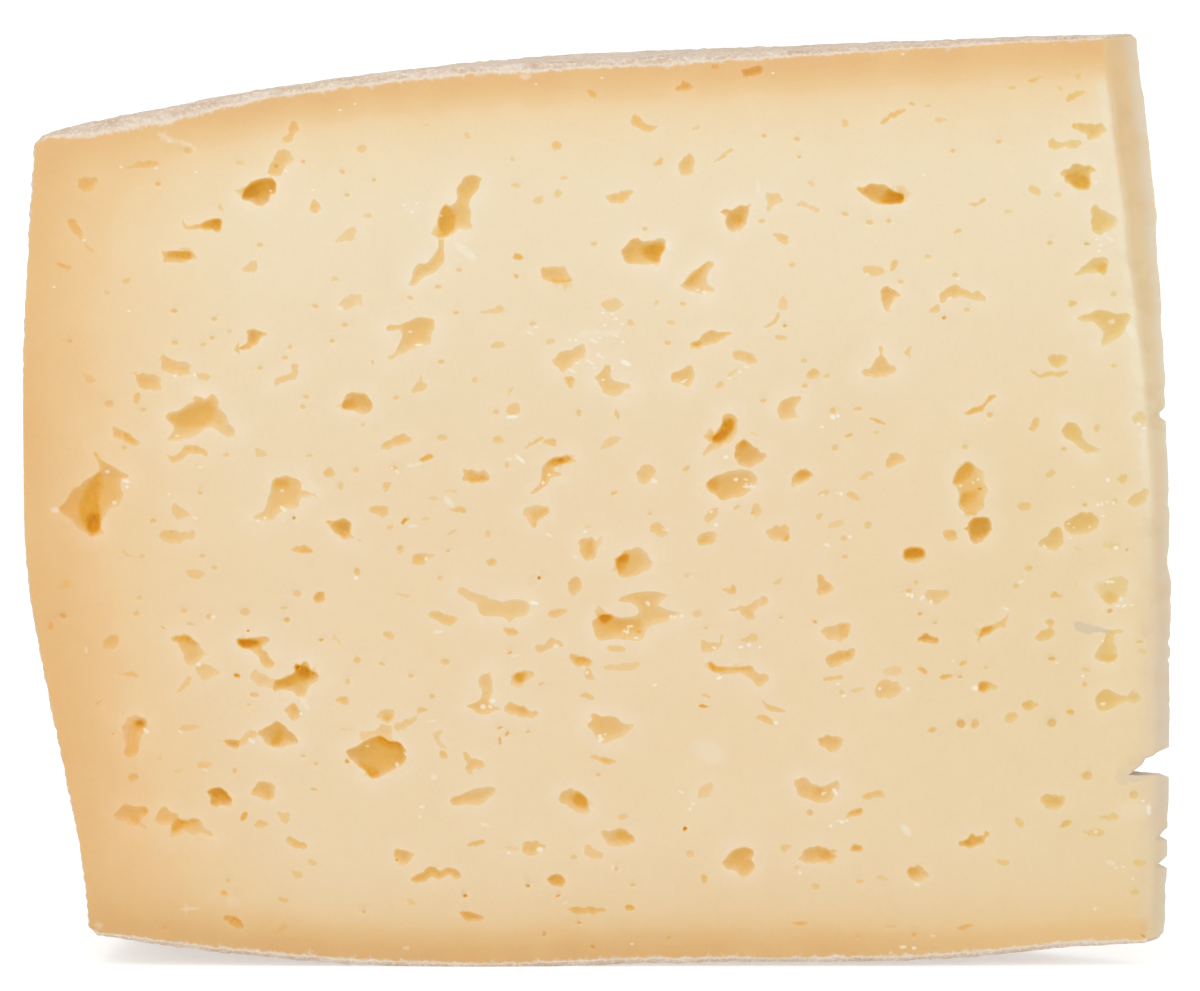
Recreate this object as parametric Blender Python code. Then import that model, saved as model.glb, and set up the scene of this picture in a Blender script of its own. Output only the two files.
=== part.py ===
"""A wedge of pressed, semi-hard cheese, cut from a wheel.

The wedge is a sector of the wheel: a flat top and bottom whose shoulders fall
away towards a bulging rim, two plain cut faces that meet at a thin, blunt tip,
and a scatter of irregular openings (eyes) that the cuts have laid open.

Row frame, in metres: +Z up, +X along the cut face from the rim to the tip,
-Y the way the front cut face looks.  The wheel's underside is slightly domed,
so the wedge rests on the small flat under its middle and its axis leans a
little towards the rim.  The origin is under the middle of the bounding box, at
the height of the surface it rests on.
"""

import math

import bmesh
import bpy
import numpy as np
from mathutils import Matrix, Vector

MM = 0.001

# ---- the wheel, in its own frame: u out from the axis, w along it, in mm ----
HALF_THICKNESS = 67.3      # from the wheel's middle to its flat faces
UNDERSIDE_SWELL = 1.9      # the underside swells out by up to this much
SWELL_RADIUS = 42.0        # most at this distance from the axis
SWELL_SPREAD = 30.0
INNER_FLAT = 20.0          # and the middle is flat out to here
FLAT_RADIUS = 99.0         # the faces are flat out to here
TOP_CORNER = (167.0, 60.3)       # where the top shoulder meets the rim (u, w)
BOTTOM_CORNER = (166.2, -59.0)   # where the bottom shoulder meets the rim
RIM_WIDEST = (172.3, 2.0)        # the fullest point of the rim's bulge
SHOULDER_POWER = 1.75      # how late the shoulders start to fall
UPPER_BULGE_POWER = 1.6    # the rim's curve above its widest point; below it, it runs in as an S
RIND_EDGE = 0.7            # the edges are rounded over by this much

# ---- the wedge ----
WEDGE_ANGLE = math.radians(28.0)
LEAN = math.radians(3.0)   # the axis leans this far towards the rim
REST_FLAT = 0.25           # the underside is flattened this deep where it rests

# ---- the blunt tip: a slightly bowed cut, measured from the wheel's axis ----
TIP_BACK = 1.7             # the tip's edge lies this far short of the axis
TIP_BOW = 3.4              # the lower and upper ends lie up to this much further short
TIP_BOW_CENTRE = 14.0      # height of the tip's foremost point, along the axis
TIP_FACE_TOP = 4.7         # width of the tip's narrow face at the top
TIP_FACE_LOW = 2.3         # and in the lower half
TIP_FACETS = 5

SPIN_STEPS = 14

# The front face was measured with a 6.735-to-the-millimetre rule, its zero at
# the face's upper left, with the wedge leaning as it rests.
RULE = 6.735
RULE_X0, RULE_Z0 = 598.2, 974.0

# The larger eyes in the front face: rule position across and down, length and
# width in rule units, turn in degrees, depth in mm.
FRONT_EYES = [
    (92, 505, 66, 50, 62, 7.5),
    (378, 757, 60, 40, 5, 7.0),
    (297, 678, 50, 26, 35, 5.5),
    (279, 737, 38, 24, -15, 6.0),
    (197, 415, 58, 34, 10, 4.5),
    (286, 497, 40, 30, 35, 3.5),
    (257, 190, 34, 24, 25, 5.5),
    (458, 208, 62, 28, 62, 5.0),
    (426, 268, 44, 16, 48, 3.5),
    (415, 335, 42, 24, 40, 4.0),
    (646, 251, 46, 26, 8, 6.0),
    (557, 274, 32, 16, -8, 3.5),
    (698, 278, 38, 22, 40, 3.5),
    (738, 217, 26, 20, -30, 5.0),
    (886, 194, 40, 18, -12, 6.0),
    (1078, 179, 30, 24, -10, 4.0),
    (570, 358, 40, 26, 20, 3.0),
    (724, 431, 34, 20, 60, 5.0),
    (748, 458, 34, 24, -35, 4.5),
    (733, 487, 52, 26, 5, 4.5),
    (968, 478, 46, 32, 80, 5.0),
    (980, 528, 26, 24, 0, 4.5),
    (914, 553, 25, 16, 0, 5.5),
    (632, 563, 38, 26, 5, 5.5),
    (618, 627, 54, 24, 10, 4.5),
    (486, 690, 42, 18, 70, 3.0),
    (517, 711, 34, 13, -15, 3.5),
    (611, 728, 44, 26, -5, 3.0),
    (577, 801, 32, 22, -30, 5.0),
    (618, 837, 36, 16, -5, 3.5),
    (737, 861, 34, 26, 10, 3.5),
    (819, 791, 40, 20, 0, 3.5),
    (818, 855, 36, 18, 0, 3.0),
    (974, 840, 30, 15, 10, 3.5),
    (183, 823, 48, 22, -15, 3.0),
    (134, 735, 40, 24, 80, 3.5),
    (1069, 528, 40, 24, 35, 3.0),
    (1107, 697, 46, 18, 0, 2.6),
    (253, 338, 30, 14, 30, 4.0),
    (355, 403, 30, 20, 0, 4.5),
]

# Eyes in the back cut face, which are set out by a rule of their own.
BACK_EYE_COUNT = 30
BACK_EYE_SEED = 41

# Openings that run right through the thin tip: height along the axis, how far
# they reach in from the tip's edge, height of the mouth, height at the root (mm).
TIP_NOTCHES = [
    (-37.6, 5.6, 3.6, 0.5),
    (-50.1, 1.5, 0.9, 0.4),
]


def smooth(t):
    t = min(1.0, max(0.0, t))
    return t * t * (3 - 2 * t)


def swell(u):
    """How far the underside stands out below its flat, u from the axis. Its middle is flat."""
    off = (max(u, INNER_FLAT) - SWELL_RADIUS) / SWELL_SPREAD
    return UNDERSIDE_SWELL * math.exp(-off * off)


def shoulder(side, t):
    """A point on the top (side 1) or bottom (-1) shoulder, t from the flat to the rim."""
    corner_u, corner_w = TOP_CORNER if side > 0 else BOTTOM_CORNER
    u = FLAT_RADIUS + (corner_u - FLAT_RADIUS) * t
    w = side * (HALF_THICKNESS - (HALF_THICKNESS - abs(corner_w)) * t**SHOULDER_POWER)
    if side < 0:
        w -= swell(u)
    return u, w


def rim(side, t):
    """A point on the rim above (side 1) or below (-1) its widest point, t from there to the corner."""
    corner_u, corner_w = TOP_CORNER if side > 0 else BOTTOM_CORNER
    wide_u, wide_w = RIM_WIDEST
    drawn_in = t**UPPER_BULGE_POWER if side > 0 else smooth(t)
    return wide_u - (wide_u - corner_u) * drawn_in, wide_w + (corner_w - wide_w) * t


def wheel_profile():
    """Half of the wheel's section, from the axis at the bottom, round the rim, to the axis at the top."""
    across = [0.0, INNER_FLAT, 32.0, 45.0, 62.0, 80.0]
    points = [(u, -HALF_THICKNESS - swell(u)) for u in across]
    points += [shoulder(-1, i / 9) for i in range(9)]
    points += [rim(-1, 1 - i / 8) for i in range(8)]
    points += [rim(1, i / 7) for i in range(7)]
    points += [shoulder(1, 1 - i / 9) for i in range(10)]
    points += [(u, HALF_THICKNESS) for u in (75.0, 50.0, 25.0, 0.0)]
    return points


def point_at(u, angle, w):
    """The wheel's cylinder coordinates as a point. Angle 0 is the front cut, and the rim lies to -X."""
    return Vector((-u * math.cos(angle), u * math.sin(angle), w)) * MM


def sector():
    """The wheel's section turned through the wedge's angle, with both cut faces closed."""
    mesh = bmesh.new()
    corners = [mesh.verts.new(point_at(u, 0.0, w)) for u, w in wheel_profile()]
    face = mesh.faces.new(corners)
    bmesh.ops.spin(
        mesh,
        geom=[face, *face.edges, *face.verts],
        cent=(0, 0, 0),
        axis=(0, 0, -1),
        dvec=(0, 0, 0),
        angle=WEDGE_ANGLE,
        steps=SPIN_STEPS,
        use_duplicate=False,
    )
    bmesh.ops.remove_doubles(mesh, verts=mesh.verts, dist=1e-6)
    bmesh.ops.dissolve_degenerate(mesh, dist=1e-6, edges=mesh.edges)
    open_edges = [e for e in mesh.edges if len(e.link_faces) == 1]
    if open_edges:
        bmesh.ops.holes_fill(mesh, edges=open_edges, sides=0)
    bmesh.ops.recalc_face_normals(mesh, faces=mesh.faces)
    bmesh.ops.dissolve_limit(
        mesh, angle_limit=math.radians(0.05), verts=mesh.verts, edges=mesh.edges
    )
    return mesh


def tip_line(w):
    """How far short of the axis the tip's edge lies, and the width of its face, at height w."""
    off = (w - TIP_BOW_CENTRE) / (HALF_THICKNESS + TIP_BOW_CENTRE)
    back = TIP_BACK + TIP_BOW * off * off
    face = TIP_FACE_LOW + (TIP_FACE_TOP - TIP_FACE_LOW) * smooth((w - 2.0) / 52.0)
    return back, face


def blunt_the_tip(mesh):
    """Slices the sharp tip off in a few long facets that follow its bow."""
    def front(w):
        back, face = tip_line(w)
        return Vector((-back - face, 0, w)) * MM

    def edge(w):
        back, _ = tip_line(w)
        return Vector((-back, back * math.tan(WEDGE_ANGLE), w)) * MM

    for i in range(TIP_FACETS):
        low = HALF_THICKNESS * (2 * i / TIP_FACETS - 1)
        high = HALF_THICKNESS * (2 * (i + 1) / TIP_FACETS - 1)
        normal = (front(high) - front(low)).cross(edge((low + high) / 2) - front(low))
        if normal.x < 0:
            normal = -normal
        bmesh.ops.bisect_plane(
            mesh,
            geom=[*mesh.verts, *mesh.edges, *mesh.faces],
            dist=1e-7,
            plane_co=front(low),
            plane_no=normal,
            clear_outer=True,
        )
        bmesh.ops.holes_fill(
            mesh, edges=[e for e in mesh.edges if len(e.link_faces) == 1], sides=0
        )
    bmesh.ops.recalc_face_normals(mesh, faces=mesh.faces)


def ease_edges(mesh):
    """Rounds the rind over along the cuts and the shoulders' corners, and dulls the tip."""
    mesh.normal_update()
    edges = [e for e in mesh.edges if e.calc_face_angle(0.0) > math.radians(24)]
    bmesh.ops.bevel(
        mesh,
        geom=edges,
        offset=RIND_EDGE * MM,
        offset_type="OFFSET",
        segments=2,
        profile=0.5,
        affect="EDGES",
        clamp_overlap=True,
    )


def notch_cutter(height, reach, mouth, root):
    """A narrow tapered block through the tip."""
    mesh = bmesh.new()
    back, _ = tip_line(height)
    bmesh.ops.create_cube(mesh, size=1.0)
    for v in mesh.verts:
        outer = v.co.x > 0
        half = mouth if outer else root
        v.co = Vector(
            (
                -back + (6.0 if outer else -reach),
                v.co.y * 16.0 + 1.0,
                height + (half * (6.0 + reach) / reach if outer else half) * v.co.z,
            )
        ) * MM
    bmesh.ops.recalc_face_normals(mesh, faces=mesh.faces)
    return mesh


def eye_cutter(mesh, place, length, width, depth, detail, seed):
    """Adds one eye: a lens drawn out to blunt points, its size in mm, at a matrix whose Y runs into the cheese."""
    rng = np.random.default_rng(seed)
    corners = int(rng.integers(3, 6))
    phase = float(rng.uniform(0, 2 * math.pi))
    new = bmesh.ops.create_icosphere(mesh, subdivisions=detail, radius=1.0)["verts"]
    for v in new:
        around = math.atan2(v.co.z, v.co.x)
        draw = 1.0 + 0.16 * math.cos(corners * around + phase)
        # Widest a little under the surface, as gas holes are.
        v.co = place @ Vector(
            (
                v.co.x * draw * length / 2 * 1.05 * MM,
                v.co.y * depth * MM + 0.18 * depth * MM,
                v.co.z * draw * width / 2 * 1.05 * MM,
            )
        )
    return new


def front_eye_places(lean, shift):
    """A matrix for each front eye, in the wheel's frame, from where it is seen on the leaning wedge."""
    back_to_wheel = (shift @ lean).inverted()
    for across, down, length, width, turn, depth in FRONT_EYES:
        seen = Vector(((across - RULE_X0) / RULE, 0.0, (RULE_Z0 - down) / RULE)) * MM
        at = back_to_wheel @ seen
        at.y = 0.0
        turned = Matrix.Rotation(-math.radians(turn), 4, "Y")
        upright = back_to_wheel.to_3x3().to_4x4()
        yield (
            Matrix.Translation(at) @ upright @ turned,
            length / RULE,
            width / RULE,
            depth,
        )


def back_eye_places():
    """A matrix for each eye of the back cut, kept apart from each other and from the rind and the tip."""
    rng = np.random.default_rng(BACK_EYE_SEED)
    taken = []
    into = Matrix.Rotation(-WEDGE_ANGLE, 4, "Z")
    while len(taken) < BACK_EYE_COUNT:
        u = float(rng.uniform(36, 152))
        w = float(rng.uniform(-52, 54))
        length = float(rng.uniform(3.6, 8.2))
        if any(math.hypot(u - a, w - b) < 0.5 * (length + c) + 4.0 for a, b, c in taken):
            continue
        taken.append((u, w, length))
        width = length * float(rng.uniform(0.45, 0.8))
        turn = math.radians(float(rng.uniform(-40, 40)))
        depth = float(rng.uniform(2.4, 4.6)) * min(1.0, u / 70.0)
        flip = Matrix.Rotation(math.pi, 4, "Z")
        yield (
            into
            @ Matrix.Translation(Vector((-u, 0, w)) * MM)
            @ flip
            @ Matrix.Rotation(turn, 4, "Y"),
            length,
            width,
            depth,
        )


def as_object(name, mesh, collection, material=None):
    data = bpy.data.meshes.new(name)
    mesh.to_mesh(data)
    mesh.free()
    if material:
        data.materials.append(material)
    made = bpy.data.objects.new(name, data)
    collection.objects.link(made)
    return made


def as_cutter(made):
    made.hide_render = True
    made.display_type = "WIRE"
    return made


def cheese_material():
    material = bpy.data.materials.new("cheese")
    material.use_nodes = True
    shader = material.node_tree.nodes["Principled BSDF"]
    shader.inputs["Base Color"].default_value = (0.84, 0.66, 0.40, 1)
    shader.inputs["Roughness"].default_value = 0.5
    shader.inputs["Metallic"].default_value = 0.0
    return material


def main():
    for old in list(bpy.data.objects):
        bpy.data.objects.remove(old)
    parts = bpy.data.collections.new("cheese_wedge_parts")
    cutters = bpy.data.collections.new("cutters")
    bpy.context.scene.collection.children.link(parts)
    bpy.context.scene.collection.children.link(cutters)

    # The lean is towards the middle of the rim, so the wedge's weight is over its flat.
    middle = Vector((-math.cos(WEDGE_ANGLE / 2), math.sin(WEDGE_ANGLE / 2), 0))
    lean = Matrix.Rotation(LEAN, 4, Vector((0, 0, 1)).cross(middle))

    body = sector()
    blunt_the_tip(body)
    ease_edges(body)
    placed = [lean @ v.co for v in body.verts]
    low = min(p.z for p in placed)
    x_tip = (lean @ point_at(TIP_BACK, WEDGE_ANGLE, TIP_BOW_CENTRE)).x
    x_rim = min(p.x for p in placed)
    y_low = min(p.y for p in placed)
    y_high = max(p.y for p in placed)
    shift = Matrix.Translation(
        Vector((-(x_tip + x_rim) / 2, -(y_low + y_high) / 2, -low - REST_FLAT * MM))
    )

    wedge = as_object("cheese_wedge", body, parts, cheese_material())

    notches = bmesh.new()
    for notch in TIP_NOTCHES:
        piece = notch_cutter(*notch)
        data = bpy.data.meshes.new("notch")
        piece.to_mesh(data)
        piece.free()
        notches.from_mesh(data)
        bpy.data.meshes.remove(data)
    notch_object = as_cutter(as_object("notch_cutter", notches, cutters))

    eyes = bmesh.new()
    for i, (place, length, width, depth) in enumerate(front_eye_places(lean, shift)):
        eye_cutter(eyes, place, length, width, depth, 2, 100 + i)
    for i, (place, length, width, depth) in enumerate(back_eye_places()):
        eye_cutter(eyes, place, length, width, depth, 2, 300 + i)
    eye_object = as_cutter(as_object("eye_cutter", eyes, cutters))

    for name, cutter in (("notches", notch_object), ("eyes", eye_object)):
        cut = wedge.modifiers.new(name, "BOOLEAN")
        cut.operation = "DIFFERENCE"
        cut.solver = "EXACT"
        cut.object = cutter
        cut.use_self = name == "eyes"
    bpy.context.view_layer.update()

    # The cuts are made, then the wedge leans onto its flat and is put over the origin.
    evaluated = wedge.evaluated_get(bpy.context.evaluated_depsgraph_get())
    cut_mesh = bpy.data.meshes.new_from_object(evaluated)
    wedge.modifiers.clear()
    final = bmesh.new()
    final.from_mesh(cut_mesh)
    bmesh.ops.transform(final, matrix=shift @ lean, verts=final.verts)
    bmesh.ops.bisect_plane(
        final,
        geom=[*final.verts, *final.edges, *final.faces],
        dist=1e-7,
        plane_co=(0, 0, 0),
        plane_no=(0, 0, -1),
        clear_outer=True,
    )
    rest_edges = [e for e in final.edges if len(e.link_faces) == 1]
    bmesh.ops.holes_fill(final, edges=rest_edges, sides=0)
    bmesh.ops.triangulate(final, faces=final.faces)
    bmesh.ops.remove_doubles(final, verts=final.verts, dist=2e-6)
    bmesh.ops.dissolve_degenerate(final, dist=2e-6, edges=final.edges)
    bmesh.ops.recalc_face_normals(final, faces=final.faces)
    low_corner = Vector((min(v.co.x for v in final.verts), min(v.co.y for v in final.verts), 0))
    high_corner = Vector((max(v.co.x for v in final.verts), max(v.co.y for v in final.verts), 0))
    bmesh.ops.translate(final, vec=-(low_corner + high_corner) / 2, verts=final.verts)
    final.to_mesh(wedge.data)
    final.free()
    bpy.data.meshes.remove(cut_mesh)
    wedge.data.shade_smooth()
    wedge.data.set_sharp_from_angle(angle=math.radians(35))


main()
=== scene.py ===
"""The looks of the cheese wedge: one closed surface with its rind, paste and eyes."""

import math

import bmesh
import bpy
import numpy as np
from mathutils import Matrix, Vector
from mathutils.geometry import delaunay_2d_cdt


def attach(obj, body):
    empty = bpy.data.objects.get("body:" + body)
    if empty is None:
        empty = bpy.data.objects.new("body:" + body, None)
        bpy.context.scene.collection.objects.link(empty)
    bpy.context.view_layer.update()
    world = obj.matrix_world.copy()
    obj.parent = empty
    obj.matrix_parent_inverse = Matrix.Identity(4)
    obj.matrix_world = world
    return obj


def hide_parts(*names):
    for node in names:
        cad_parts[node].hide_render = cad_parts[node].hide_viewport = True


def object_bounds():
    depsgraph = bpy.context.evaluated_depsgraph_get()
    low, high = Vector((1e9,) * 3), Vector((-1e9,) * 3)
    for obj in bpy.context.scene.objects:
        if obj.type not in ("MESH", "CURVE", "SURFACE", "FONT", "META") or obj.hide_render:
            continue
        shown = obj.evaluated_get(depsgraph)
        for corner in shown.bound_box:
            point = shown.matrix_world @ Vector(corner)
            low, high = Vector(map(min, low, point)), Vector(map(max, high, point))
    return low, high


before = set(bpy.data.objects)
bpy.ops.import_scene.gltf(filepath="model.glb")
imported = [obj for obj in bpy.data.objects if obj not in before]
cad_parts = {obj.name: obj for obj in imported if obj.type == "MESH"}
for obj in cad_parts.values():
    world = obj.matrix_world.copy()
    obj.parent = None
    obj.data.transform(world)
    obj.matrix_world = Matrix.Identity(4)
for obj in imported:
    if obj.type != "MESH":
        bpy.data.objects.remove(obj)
CAD_BOX = [list(map(float, corner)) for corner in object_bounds()]

MM = 0.001

# ---- the wheel and the cut, as in the CAD model: u out from the axis, w along it, in mm ----
HALF_THICKNESS = 67.3
UNDERSIDE_SWELL, SWELL_RADIUS, SWELL_SPREAD, INNER_FLAT = 1.9, 42.0, 30.0, 20.0
FLAT_RADIUS = 99.0
TOP_CORNER, BOTTOM_CORNER, RIM_WIDEST = (167.0, 60.3), (166.2, -59.0), (172.3, 2.0)
SHOULDER_POWER, UPPER_BULGE_POWER = 1.75, 1.6
WEDGE_ANGLE, LEAN = math.radians(28.0), math.radians(3.0)
TIP_BACK, TIP_BOW, TIP_BOW_CENTRE = 1.7, 3.4, 14.0
TIP_FACE_TOP, TIP_FACE_LOW = 4.7, 2.3
PLACED_AT = Vector((86.9517, -39.8501, 72.3713))  # the wheel's middle, in the row frame

middle = Vector((-math.cos(WEDGE_ANGLE / 2), math.sin(WEDGE_ANGLE / 2), 0))
TO_ROW = Matrix.Translation(PLACED_AT) @ Matrix.Rotation(LEAN, 4, Vector((0, 0, 1)).cross(middle))
TO_ROW = np.array(TO_ROW)

# ---- the camera: a long lens, a little above the wedge, looking slightly down ----
FRAME_W, FRAME_H = 1200, 991
PIXELS = 5760.0  # focal length in frame pixels
EYE = Vector((0.0, -40.7 - 850.0, 165.0))
LOOK_AT = Vector((0.27, -40.7, 71.05))
CAMERA_TURN = (LOOK_AT - EYE).to_track_quat("-Z", "Y")


def face_point(across, down):
    """Where the line of sight through a place in the frame meets the front cut, as (-u, w) in mm."""
    ray = CAMERA_TURN @ Vector(((across - FRAME_W / 2) / PIXELS, (FRAME_H / 2 - down) / PIXELS, -1.0))
    back = np.linalg.inv(TO_ROW)
    start = back @ np.array([*EYE, 1.0])
    along = back[:3, :3] @ np.array(ray)
    at = start[:3] - along * (start[1] / along[1])
    return at[0], at[2]

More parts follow.
